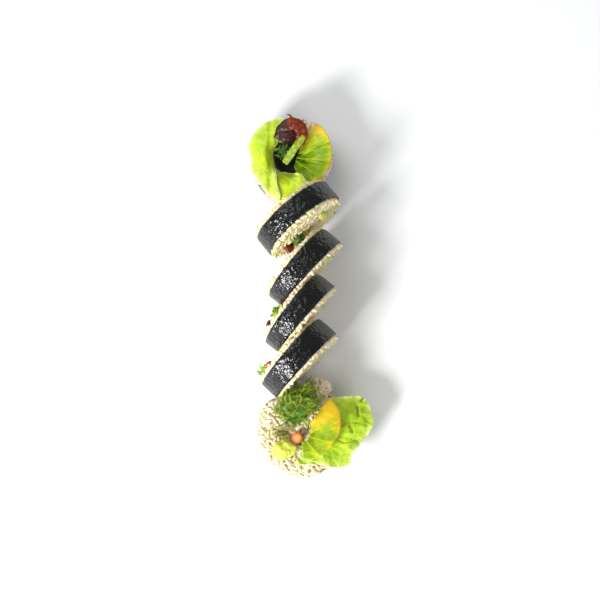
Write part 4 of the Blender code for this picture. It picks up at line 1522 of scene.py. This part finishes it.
            piece = Scatter(
                morsels["leaflet"], material, spacing=1.5, smallest=0.4, largest=0.7, tilt=50,
                lowest=-0.9, highest=0.1, seed=20 + self.seed,
            ).over(piece, f"{node}_filling")
        return settle_in(piece, Slot(name), node)

    def build(self, pantry: Pantry, morsels: dict[str, bpy.types.Object]) -> None:
        """Builds every piece of the slice.

        Args:
            pantry: the finishes.
            morsels: the small things that are scattered.
        """
        self.nori(pantry)
        self.rice(pantry, morsels)
        for name in self.fillings():
            self.filling(name, pantry, morsels)


@dataclass
class EndPiece:
    """An upright end piece: its seaweed band and its rice.

    place is in millimetres in the row's frame. lip is how far the band's edges turn in, wave how far its
    upper edge rises and falls, and sunk how far the rice's core lies below the rice's top.
    """

    name: str
    place: Vector
    seed: int
    lip: float = 0.3
    wave: float = 0.4
    sunk: float = 0.7

    def outline(self) -> Callable[[float], float]:
        """The solid band's outer radius at an angle, read from the frame, in millimetres.

        Returns:
            A function of the angle in radians.
        """
        found: dict[int, float] = {}
        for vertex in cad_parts[f"{self.name}_nori"].data.vertices:
            offset = vertex.co / MM - self.place
            if offset.z < 1:
                key = round(math.degrees(math.atan2(offset.y, offset.x))) % 360
                found[key] = max(found.get(key, 0), math.hypot(offset.x, offset.y))
        stops = sorted(found.items())
        stops = [(stops[-1][0] - 360, stops[-1][1])] + stops + [(stops[0][0] + 360, stops[0][1])]

        def reach(angle: float) -> float:
            """The radius at an angle.

            Args:
                angle: in radians.

            Returns:
                The radius, in millimetres.
            """
            turn = math.degrees(angle) % 360
            for (low, first), (high, second) in zip(stops, stops[1:]):
                if turn <= high:
                    return first + (second - first) * (turn - low) / (high - low)
            return stops[-1][1]

        return reach

    def band(self, pantry: Pantry, steps: int = 180, rows: int = 16) -> bpy.types.Object:
        """The seaweed band, its upper edge a little wavy.

        Args:
            pantry: the finishes.
            steps: its points round the roll.
            rows: its points from edge to edge.

        Returns:
            The band.
        """
        outline = self.outline()
        profiles = []
        for k in range(steps):
            angle = math.tau * k / steps
            way = around(angle)
            turn = way * 24 * MM
            top = END_HEIGHT + self.wave * math.sin(3 * angle + self.seed)
            top += 0.5 * ripple(turn, 5.0, self.seed)
            profile = []
            for i in range(rows):
                z = top * i / (rows - 1)
                spot = turn + UP * z * MM
                (wide, wide_size), (narrow, narrow_size) = END_CRINKLES
                dent = wide * abs(ripple(spot, wide_size, self.seed))
                dent += narrow * abs(ripple(spot, narrow_size, self.seed + 4))
                lip = self.lip * (abs(2 * i / (rows - 1) - 1) ** 6)
                profile.append((self.place + way * (outline(angle) - dent - lip) + UP * z) * MM)
            inner = outline(angle) - NORI_THICKNESS
            for share in (1.0, 0.5, 0.0):
                profile.append((self.place + way * inner + UP * top * share) * MM)
            profiles.append(profile)
        mesh = mesh_of(ring_solid(profiles), f"{self.name}_seaweed")
        return serve(f"{self.name}_seaweed", mesh, pantry.nori, Slot.NORI, f"{self.name}_nori")

    def rice_top(self, radius: float, angle: float) -> float:
        """The height of the rice's upper face at a radius in millimetres and an angle in radians."""
        raise NotImplementedError

    def bare(self, radius: float, angle: float) -> float:
        """How freely grains may lie at a radius in millimetres and an angle in degrees."""
        return 1.0

    def hollow(self, radius: float) -> float:
        """How much painted shade darkens the rice's core at a radius."""
        return 0.0

    def clump(self, pantry: Pantry, morsels: dict[str, bpy.types.Object]) -> list[bpy.types.Object]:
        """Rice that hangs over the rim, if there is any."""
        return []

    def core(self, steps: int = 96) -> bpy.types.Mesh:
        """The pressed rice that the grains lie on.

        Args:
            steps: its points round the roll.

        Returns:
            Its mesh.
        """
        outline = self.outline()
        turns = [math.tau * k / steps for k in range(steps)]
        edge = [outline(angle) - NORI_THICKNESS - FIT for angle in turns]
        rings = []
        for share in (0.03, 0.14, 0.26, 0.38, 0.5, 0.62, 0.73, 0.83, 0.9, 0.95, 0.985):
            ring = []
            for angle, rim in zip(turns, edge):
                reach = rim * share
                way = around(angle)
                drop = 0.9 * smooth_step(0.9, 1.0, share)
                bump = 0.4 * ripple(way * reach * MM, 2.6, self.seed)
                z = self.rice_top(reach, angle) - self.sunk - drop + bump
                ring.append((self.place + way * reach + UP * z) * MM)
            rings.append(ring)
        for share, z in ((1.0, 16.5), (1.0, 8.0), (1.0, 0.8), (0.97, 0.0), (0.5, 0.0)):
            rings.append([
                (self.place + around(angle, rim * share, z)) * MM for angle, rim in zip(turns, edge)
            ])
        return mesh_of(loft(rings), f"{self.name}_rice_core")

    def rice(self, pantry: Pantry, morsels: dict[str, bpy.types.Object]) -> bpy.types.Object:
        """The rice: grains over its upper face and over the side that stands above the seaweed.

        Args:
            pantry: the finishes.
            morsels: the small things that are scattered.

        Returns:
            The rice.
        """
        mesh = self.core()

        def rule(point: Vector, normal: Vector) -> float:
            """Grains lie on top, where nothing else does.

            Args:
                point: a place on the core, in metres.
                normal: its normal.

            Returns:
                How freely grains lie there.
            """
            offset = point / MM - self.place
            if offset.z < 12 or normal.z < -0.1:
                return 0.0
            turn = math.degrees(math.atan2(offset.y, offset.x)) % 360
            return self.bare(math.hypot(offset.x, offset.y), turn)

        expose(mesh, rule)
        # Less painted shade on the pressed rice near the rim.
        shade, hollow = [], []
        for vertex in mesh.vertices:
            offset = vertex.co / MM - self.place
            shade.append(0.5 * smooth_step(20.0, 23.0, math.hypot(offset.x, offset.y)))
            # Painted shade in the far end's bowl.
            hollow.append(self.hollow(math.hypot(offset.x, offset.y)))
        put(mesh, "shade", shade)
        put(mesh, "hollow", hollow)
        put(mesh, "stain", [0.4] * len(shade))
        under = Scatter(
            morsels["grain"], pantry.rice, spacing=1.8, tilt=24, lowest=0.0, highest=0.6,
            seed=30 + self.seed,
        )
        over = Scatter(
            morsels["grain"], pantry.rice, spacing=2.7, tilt=30, lowest=0.9, highest=1.5,
            seed=50 + self.seed, keep_ground=False,
        )
        ground = new_piece(f"{self.name}_ground", mesh, pantry.rice)
        second = new_piece(f"{self.name}_second", mesh.copy(), pantry.rice)
        lower = under.over(ground, f"{self.name}_rice_grains")
        upper = over.over(second, f"{self.name}_rice_top")
        piece = join_pieces(lower, upper, *self.clump(pantry, morsels))
        return settle_in(piece, Slot.RICE, f"{self.name}_rice")


def join_pieces(first: bpy.types.Object, *others: bpy.types.Object) -> bpy.types.Object:
    """Puts other plain pieces' faces into the first one, which keeps its name and finish.

    Args:
        first: the piece that stays.
        others: the pieces that go into it.

    Returns:
        The joined piece.
    """
    names = [a.name for a in first.data.attributes if a.data_type == "FLOAT" and a.domain == "POINT"]
    values = {name: [] for name in names}
    bm = bmesh.new()
    for obj in (first, *others):
        for name in names:
            count = len(obj.data.vertices)
            found = obj.data.attributes.get(name)
            numbers = [0.0] * count
            if found:
                found.data.foreach_get("value", numbers)
            values[name] += numbers
        bm.from_mesh(obj.data)
    material = first.data.materials[0]
    mesh = bpy.data.meshes.new(first.name)
    bm.to_mesh(mesh)
    bm.free()
    for name in names:
        put(mesh, name, values[name])
    name = first.name
    for obj in (first, *others):
        bpy.data.objects.remove(obj, do_unlink=True)
    return new_piece(name, mesh, material)


@dataclass
class AvocadoFan:
    """Thin avocado slices fanned about a pivot, over an end piece.

    Places and sizes are in millimetres in the row's frame. The lines on the slices run out from source, and
    fineness says how close together they are. ripe gives how yellow the flesh is, from the share of the way
    out, the angle in degrees and how near a point is to its slice's upper edge.
    """

    name: str
    count: int
    pivot: Vector
    source: Vector
    fineness: float
    inner: float
    ripe: Callable[[float, float, float], float]
    seed: int = 1

    def build(self, material: bpy.types.Material) -> None:
        """Builds a finer copy of each slice, with lines that run out from the source.

        Args:
            material: the finish of all its slices.
        """
        for i in range(1, self.count + 1):
            node = f"{self.name}_{i}"
            mesh = SoftCopy(node, splits=1, rounds=2, relief=0.16, size=3.0, seed=self.seed + i).mesh()
            ripe, fan = [], []
            offsets = [vertex.co / MM - self.pivot for vertex in mesh.vertices]
            angles = [math.degrees(math.atan2(offset.y, offset.x)) for offset in offsets]
            far = [angle for angle, offset in zip(angles, offsets) if offset.xy.length > 12]
            low, high = min(far), max(far)
            outer = max(offset.xy.length for offset in offsets)
            for vertex, offset, angle in zip(mesh.vertices, offsets, angles):
                share = (offset.xy.length - self.inner) / (outer - self.inner)
                ripe.append(self.ripe(share, angle, smooth_step(0.45, 1.0, (angle - low) / (high - low))))
                ray = (vertex.co / MM - self.source).xy
                turn = math.atan2(ray.y, ray.x) * self.fineness
                fan.append(Vector((ray.length / 60, turn * 0.9, i * 3.0)))
                lines = noise.noise(Vector((ray.length / 22, turn * 9, i * 3.0)))
                vertex.co += UP * lines * 0.24 * MM * (1 if vertex.normal.z > 0 else 0)
            put(mesh, "ripe", ripe)
            put_vectors(mesh, "fan", fan)
            serve(f"{self.name}_slice_{i}", mesh, material, Slot.AVOCADO, node)


@dataclass
class TopEnd(EndPiece):
    """The far end piece: leaf petals, a fan of avocado, a red strip, a green stick and dark greens.

    bowl is the height of the rice in the middle, and rim is how much higher it is outside. The pairs are the
    radii between which the bowl rises, the grains begin and the painted shade of the bowl ends. The last
    three are the leaves':
    how much further out they spread, as a share, and their fold's depth and width. Lengths are in
    millimetres.
    """

    bowl: float = 13.0
    rim: float = 7.0
    bowl_rise: tuple[float, float] = (7.0, 15.0)
    grains_begin: tuple[float, float] = (13.0, 15.0)
    bowl_shade_ends: tuple[float, float] = (10.0, 14.0)
    leaf_spread: float = 0.17
    fold_depth: float = 0.7
    fold_width: float = 1.5

    def rice_top(self, radius: float, angle: float) -> float:
        """A bowl in the middle, a level rim."""
        return self.bowl + self.rim * smooth_step(*self.bowl_rise, radius)

    def bare(self, radius: float, angle: float) -> float:
        """Grains only out on the rim."""
        return smooth_step(*self.grains_begin, radius)

    def hollow(self, radius: float) -> float:
        """Painted shade in the bowl."""
        return 1 - smooth_step(*self.bowl_shade_ends, radius)

    def petal(self, node: str, pantry: Pantry, fold_x: float | None = None) -> bpy.types.Object:
        """A leaf petal, smooth, spread out at the lower left, with a soft fold where one is given.

        Args:
            node: the solid that it replaces.
            pantry: the finishes.
            fold_x: where the fold runs, in millimetres, if there is one.

        Returns:
            The petal.
        """
        mesh = SoftCopy(
            node, splits=1, rounds=2, relief=0.45, size=6.0, way=Relief.STRAIGHT_UP, seed=4, rim=1.3
        ).mesh()
        for vertex in mesh.vertices:
            offset = vertex.co / MM - self.place
            turn = math.degrees(math.atan2(offset.y, offset.x)) % 360
            spread = smooth_step(11, 20, offset.xy.length)
            spread *= smooth_step(178, 210, turn) * (1 - smooth_step(266, 292, turn))
            vertex.co += Vector((offset.x, offset.y, 0)) * self.leaf_spread * spread * MM
            if fold_x is not None:
                across = (vertex.co.x / MM - fold_x) / self.fold_width
                vertex.co.z -= self.fold_depth * math.exp(-across * across) * MM
        return serve(f"{node}_petal", mesh, pantry.leaf, Slot.LEAF, node)

    def strip(self, pantry: Pantry) -> bpy.types.Object:
        """The folded red strip, its fold inside the bend painted dark as shade, and a thin torn end.

        Args:
            pantry: the finishes.

        Returns:
            The strip.
        """
        mesh = SoftCopy("top_red", splits=1, rounds=2, relief=0.55, size=3.4, seed=6).mesh()
        # Painted shade: the end inside the bend is dark.
        paint(mesh, "deep", lambda spot: 1 - smooth_step(-15.5, -11.5, spot.x))
        strip = new_piece("top_red_strip", mesh, pantry.red)
        low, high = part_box("top_red")
        level = (low.z + high.z) / 2 / MM
        middle = self.place + Vector((-1.6, 11.6, level - 0.4))
        # A lump of the strip that fills the shaded bowl, painted dark all over as shade.
        fold = lump(middle, half=(5.8, 5.0, 2.6), relief=0.7, seed=5)
        paint(fold, "deep", lambda spot: 1.0)
        route = ((1.6, 17.5, 1.5), (0.6, 20.5, 2.4), (-0.6, 22.6, 1.6), (-2.4, 23.4, 0.4))
        path = [self.place + Vector((x, y, level + z)) for x, y, z in route]
        thread = mesh_of(tube(path, (0.9, 0.75, 0.6, 0.3)), "thread")
        pieces = [new_piece(part.name, part, pantry.red) for part in (fold, thread)]
        return settle_in(join_pieces(strip, *pieces), Slot.RED, "top_red")

    def stick(self, pantry: Pantry) -> bpy.types.Object:
        """The rough green stick."""
        mesh = SoftCopy("top_stick", splits=2, rounds=1, relief=0.4, size=1.8, seed=8).mesh()
        return serve("top_green_stick", mesh, pantry.stick, Slot.STICK, "top_stick")

    def greens(self, pantry: Pantry, morsels: dict[str, bpy.types.Object]) -> bpy.types.Object:
        """Small dark leaves over a lumpy mound.

        Args:
            pantry: the finishes.
            morsels: the small things that are scattered.

        Returns:
            The greens.
        """
        mesh = SoftCopy("top_greens", splits=0, rounds=2, relief=0.5, size=3.0, seed=9, shrink=1.0).mesh()
        expose(mesh, lambda point, normal: 1.0 if normal.z > -0.1 else 0.0)
        ground = new_piece("top_greens_ground", mesh, pantry.greens)
        scatter = Scatter(
            morsels["leaflet"], pantry.greens, spacing=1.9, smallest=0.6, largest=1.0, tilt=40,
            lowest=-0.6, highest=0.2, seed=71,
        )
        return settle_in(scatter.over(ground, "top_greens_leaves"), Slot.GREENS, "top_greens")

    def build(self, pantry: Pantry, morsels: dict[str, bpy.types.Object]) -> None:
        """Builds every piece of the far end.

        Args:
            pantry: the finishes.
            morsels: the small things that are scattered.
        """
        self.band(pantry)
        self.rice(pantry, morsels)

        def ripe(share: float, angle: float, within: float) -> float:
            """Yellow towards the upper slices and along the outer rim.

            Args:
                share: of the way out.
                angle: in degrees.
                within: how near its slice's upper edge the point is.

            Returns:
                How yellow it is.
            """
            high = smooth_step(4, 56, angle)
            rim = smooth_step(0.7, 1.0, share) * (0.66 - 0.3 * smooth_step(-20, 30, angle))
            return 0.18 + 0.56 * high + rim + 0.08 * within

        AvocadoFan(
            "top_avocado", count=4, pivot=self.place, source=self.place, fineness=1.0, inner=7.5,
            ripe=ripe, seed=2,
        ).build(pantry.fan_top)
        self.petal("top_leaf_front", pantry)
        self.petal("top_leaf_left", pantry, fold_x=-23.5)
        self.greens(pantry, morsels)
        self.strip(pantry)
        self.stick(pantry)


@dataclass
class BottomEnd(EndPiece):
    """The near end piece: rice on one side, herbs, avocado slices, a carrot stick and a lettuce leaf.

    level is the height of the rice, mound how much higher it is on the bare side, and shoulder how much lower
    at the rim. The slits in the lettuce each run between two places across the row, from the roll's middle,
    and slit_width and slit_depth give their size; they are painted dark as shade too. All are in millimetres.
    """

    level: float = 19.6
    mound: float = 1.6
    shoulder: float = 1.2
    slits: tuple = (((32.0, 14.0), (32.6, 8.6)), ((36.2, 20.5), (34.2, 17.2)), ((27.0, 3.0), (29.0, -0.5)))
    slit_width: float = 0.6
    slit_depth: float = 0.8

    def rice_top(self, radius: float, angle: float) -> float:
        """Level, a little higher towards the bare side, lower at the shoulder.

        Args:
            radius: in millimetres.
            angle: in radians.

        Returns:
            The height, in millimetres.
        """
        across = radius * math.cos(angle)
        mound = self.mound * (1 - smooth_step(-16, 8, across))
        return self.level + mound - self.shoulder * smooth_step(20, 25, radius)

    def bare(self, radius: float, angle: float) -> float:
        """Grains all over but for the carrot's place.

        Args:
            radius: in millimetres.
            angle: in degrees.

        Returns:
            How freely grains lie there.
        """
        x = radius * math.cos(math.radians(angle)) - CARROT_OFFSET.x
        y = radius * math.sin(math.radians(angle)) - CARROT_OFFSET.y
        return smooth_step(3.2, 4.2, math.hypot(x, y))

    def clump(self, pantry: Pantry, morsels: dict[str, bpy.types.Object]) -> list[bpy.types.Object]:
        """The clump of rice that hangs over the rim beside the herbs.

        Args:
            pantry: the finishes.
            morsels: the small things that are scattered.

        Returns:
            The clump, alone.
        """
        middle = self.place + Vector((10.6, 25.2, 20.6))
        mesh = lump(middle, half=(5.0, 3.6, 1.5), relief=0.4, seed=3)
        expose(mesh, lambda point, normal: 1.0)
        ground = new_piece("clump_ground", mesh, pantry.rice)
        scatter = Scatter(
            morsels["grain"], pantry.rice, spacing=1.7, tilt=24, lowest=0.0, highest=0.5, seed=77
        )
        return [scatter.over(ground, "clump")]

    def lettuce(self, pantry: Pantry) -> bpy.types.Object:
        """The lettuce leaf, with veins, creases, a few short slits and a frilled rim, its slits and creases
        painted darker as shade.

        Args:
            pantry: the finishes.

        Returns:
            The leaf.
        """
        mesh = SoftCopy(
            "bottom_lettuce", splits=2, rounds=1, relief=0.8, size=6.0, way=Relief.STRAIGHT_UP, seed=5,
            rim=1.3,
        ).mesh()
        depth = []
        for vertex, close in zip(mesh.vertices, mesh.attributes["edge"].data):
            flat = Vector((vertex.co.x, vertex.co.y, 0))
            crease = 1 - smooth_step(0.0, 0.16, abs(ripple(flat, 9.0, 21)))
            vertex.co.z += (0.8 * close.value * ripple(flat, 2.4, 12) - 0.35 * crease) * MM
            spot = (flat / MM - self.place).xy
            deep = 0.0
            for first, second in self.slits:
                _, share = intersect_point_line(spot, Vector(first), Vector(second))
                nearest = Vector(first).lerp(Vector(second), min(max(share, 0), 1))
                deep = max(deep, math.exp(-((spot - nearest).length / self.slit_width) ** 2))
            vertex.co.z -= self.slit_depth * deep * MM
            # Painted shade: dark in the slits, a little darker along the creases.
            depth.append(max(deep, 0.1 * crease))
        put(mesh, "slit", depth)
        return serve("bottom_lettuce_leaf", mesh, pantry.lettuce, Slot.LEAF, "bottom_lettuce")

    def carrot(self, pantry: Pantry) -> bpy.types.Object:
        """The carrot stick, seen on its cut end.

        Args:
            pantry: the finishes.

        Returns:
            The stick.
        """
        mesh = SoftCopy("bottom_carrot", splits=1, rounds=2, relief=0.12, size=2.0, seed=3).mesh()
        low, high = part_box("bottom_carrot")
        middle = (low + high) / 2 / MM
        paint(mesh, "heart", lambda spot: 1 - smooth_step(0.5, 2.4, (spot - middle).xy.length))
        return serve("bottom_carrot_stick", mesh, pantry.carrot, Slot.CARROT, "bottom_carrot")

    def flesh(self, pantry: Pantry) -> bpy.types.Object:
        """The soft avocado mass."""
        mesh = SoftCopy("bottom_flesh", splits=0, rounds=3, relief=1.1, size=4.4, seed=7).mesh()
        return serve("bottom_soft_avocado", mesh, pantry.flesh, Slot.FLESH, "bottom_flesh")

    def herb(self, pantry: Pantry, morsels: dict[str, bpy.types.Object]) -> bpy.types.Object:
        """Feathery sprigs over a lumpy mound.

        Args:
            pantry: the finishes.
            morsels: the small things that are scattered.

        Returns:
            The herb.
        """
        mesh = SoftCopy("bottom_herb", splits=0, rounds=2, relief=0.7, size=4.0, seed=11, shrink=1.8).mesh()
        expose(mesh, lambda point, normal: 1.0 if normal.z > 0.0 else 0.0)
        ground = new_piece("bottom_herb_ground", mesh, pantry.herb)
        scatter = Scatter(
            morsels["frond"], pantry.herb, spacing=2.0, smallest=0.5, largest=0.95, tilt=34, spin=90,
            heading=(0.15, 1.0, 0.3), lowest=-0.8, highest=0.6, seed=81,
        )
        return settle_in(scatter.over(ground, "bottom_herb_sprigs"), Slot.HERB, "bottom_herb")

    def tuft(self, pantry: Pantry, morsels: dict[str, bpy.types.Object]) -> bpy.types.Object:
        """A small olive fringe.

        Args:
            pantry: the finishes.
            morsels: the small things that are scattered.

        Returns:
            The fringe.
        """
        mesh = SoftCopy("bottom_tuft", splits=0, rounds=2, relief=0.3, size=2.0, seed=13, shrink=0.7).mesh()
        expose(mesh, lambda point, normal: 1.0 if normal.z > 0.1 else 0.0)
        ground = new_piece("bottom_tuft_ground", mesh, pantry.tuft)
        scatter = Scatter(
            morsels["strand"], pantry.tuft, spacing=0.75, smallest=0.6, largest=1.1, tilt=20, spin=55,
            heading=(-1.0, -0.1, 0.2), lowest=-0.3, highest=0.1, seed=91,
        )
        return settle_in(scatter.over(ground, "bottom_olive_tuft"), Slot.HERB, "bottom_tuft")

    def build(self, pantry: Pantry, morsels: dict[str, bpy.types.Object]) -> None:
        """Builds every piece of the near end.

        Args:
            pantry: the finishes.
            morsels: the small things that are scattered.
        """
        self.band(pantry)
        self.rice(pantry, morsels)
        self.lettuce(pantry)

        def ripe(share: float, angle: float, within: float) -> float:
            """Green in the middle, yellow at the upper slice, along the rim and on upper edges.

            Args:
                share: of the way out.
                angle: in degrees.
                within: how near its slice's upper edge the point is.

            Returns:
                How yellow it is.
            """
            high = smooth_step(10, 40, angle)
            rim = smooth_step(0.66, 0.98, share) * smooth_step(-75, -10, angle)
            return 0.16 + 0.66 * high + 0.55 * rim + 0.46 * within * (1 - high)

        pivot = self.place + Vector((-0.6, -3.0, 0))
        source = self.place + Vector((-30.0, -17.0, 0))
        AvocadoFan(
            "bottom_avocado", count=4, pivot=pivot, source=source, fineness=2.0, inner=4.0, ripe=ripe,
            seed=5,
        ).build(pantry.fan_bottom)
        self.carrot(pantry)
        self.flesh(pantry)
        self.herb(pantry, morsels)
        self.tuft(pantry, morsels)


@dataclass
class Studio:
    """A pale floor, soft light and the camera, almost straight above.

    elevation is in degrees and distance in metres. focal_pixels is the lens in the photograph's pixels, and
    floor_drop is how far the floor lies below the roll, in metres.
    """

    target: Vector
    elevation: float = 83.0
    distance: float = 0.750
    focal_pixels: float = 1250.0
    floor_drop: float = 0.0002

    def floor(self, size: float = 3.0) -> None:
        """The pale floor.

        Args:
            size: half its side, in metres.
        """
        bm = bmesh.new()
        bmesh.ops.create_grid(bm, x_segments=2, y_segments=2, size=size)
        shader = Shader("pale_floor")
        cloud = shader.noise(60.0, 2.0)
        base = shader.mix(cloud * 0.06, colour(246, 246, 246), colour(238, 238, 240))
        shader.finish(base, 0.75, shader.bump(cloud, 0.02))
        obj = new_piece("floor", mesh_of(bm, "floor"), shader.material)
        for vertex in obj.data.vertices:
            vertex.co.z = -self.floor_drop

    def lamp(
        self, name: str, azimuth: float, elevation: float, distance: float, size: float, watts: float
    ) -> None:
        """One soft square light that looks at the roll.

        Args:
            name: its name.
            azimuth: degrees from +X towards +Y.
            elevation: degrees above the floor.
            distance: metres from the roll.
            size: its side, in metres.
            watts: its power.
        """
        light = bpy.data.lights.new(name, "AREA")
        light.size = size
        light.energy = watts
        obj = bpy.data.objects.new(name, light)
        turn, rise = math.radians(azimuth), math.radians(elevation)
        way = around(turn, math.cos(rise), math.sin(rise))
        obj.location = way * distance
        obj.rotation_euler = way.to_track_quat("Z", "Y").to_euler()
        bpy.context.scene.collection.objects.link(obj)

    def sky(self, strength: float) -> None:
        """An even pale surround.

        Args:
            strength: how bright it is.
        """
        world = bpy.data.worlds.new("surround")
        world.use_nodes = True
        background = world.node_tree.nodes["Background"]
        background.inputs["Color"].default_value = (0.95, 0.98, 1.0, 1)
        background.inputs["Strength"].default_value = strength
        bpy.context.scene.world = world

    def camera(self) -> None:
        """The photograph's view: its frame is square."""
        data = bpy.data.cameras.new("photo_view")
        data.sensor_width = 36.0
        data.lens = data.sensor_width * self.focal_pixels / PHOTO_PIXELS
        obj = bpy.data.objects.new("photo_view", data)
        rise = math.radians(self.elevation)
        way = Vector((0, -math.cos(rise), math.sin(rise)))
        obj.location = self.target + way * self.distance
        obj.rotation_euler = way.to_track_quat("Z", "Y").to_euler()
        bpy.context.scene.collection.objects.link(obj)
        bpy.context.scene.camera = obj

    def build(self) -> None:
        """Sets up the floor, the lights and the camera."""
        self.floor()
        self.lamp("window", azimuth=226, elevation=34, distance=1.1, size=0.32, watts=15.0)
        self.lamp("ceiling", azimuth=135, elevation=45, distance=1.4, size=1.0, watts=8.0)
        self.lamp("fill", azimuth=315, elevation=40, distance=1.4, size=0.8, watts=5.0)
        self.sky(0.3)
        self.camera()
        bpy.context.scene.view_settings.view_transform = "Standard"


def slices(shift: Vector) -> list[Slice]:
    """The four slices between the end pieces.

    Args:
        shift: from the row's own plan to the frame, in metres.

    Returns:
        The slices, from the far one to the near one.
    """
    return [
        Slice(
            "slice_1", place=(-1.2, 45.0), turn=39.4, lean=4.5, radius=26.2, thickness=14.2,
            dome=(0.4, 3.4), wedge=(0.0, 0.0), seed=1, shift=shift,
        ),
        Slice(
            "slice_2", place=(2.3, 15.7), turn=49.9, lean=2.5, radius=25.7, thickness=13.0,
            dome=(0.5, 0.2), wedge=(1.5, 1.2), seed=2, shift=shift,
        ),
        Slice(
            "slice_3", place=(-0.8, -10.9), turn=52.1, lean=2.5, radius=25.5, thickness=12.6,
            dome=(0.2, 0.3), wedge=(1.5, 1.2), seed=3, shift=shift,
        ),
        Slice(
            "slice_4", place=(-1.0, -36.9), turn=48.7, lean=2.5, radius=25.4, thickness=14.2,
            dome=(0.2, 0.6), wedge=(0.9, 0.8), seed=4, shift=shift,
        ),
    ]


def main() -> None:
    """Builds the roll from end to end, then the studio."""
    logging.basicConfig(level=logging.INFO, format="%(message)s")
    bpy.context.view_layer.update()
    low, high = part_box("bottom_carrot")
    middle = (low + high) / 2
    carrot_plan = BOTTOM_PLAN + CARROT_OFFSET
    shift = Vector((middle.x - carrot_plan.x * MM, middle.y - carrot_plan.y * MM, 0))

    pantry = Pantry()
    morsel = Morsel()
    morsels = {
        "grain": morsel.grain(),
        "frond": morsel.frond(),
        "leaflet": morsel.leaflet("greens_leaflet", length=5.5, width=3.6, curl=1.4, lobes=3),
        "strand": morsel.strand("olive_strand", length=5.5, width=0.55, rise=1.2),
    }
    for cut in slices(shift):
        cut.build(pantry, morsels)
    TopEnd("top", place=TOP_PLAN + shift / MM, seed=5).build(pantry, morsels)
    BottomEnd("bottom", place=BOTTOM_PLAN + shift / MM, seed=2).build(pantry, morsels)
    morsel.clear()
    Studio(shift).build()


if __name__ == "__main__":
    main()
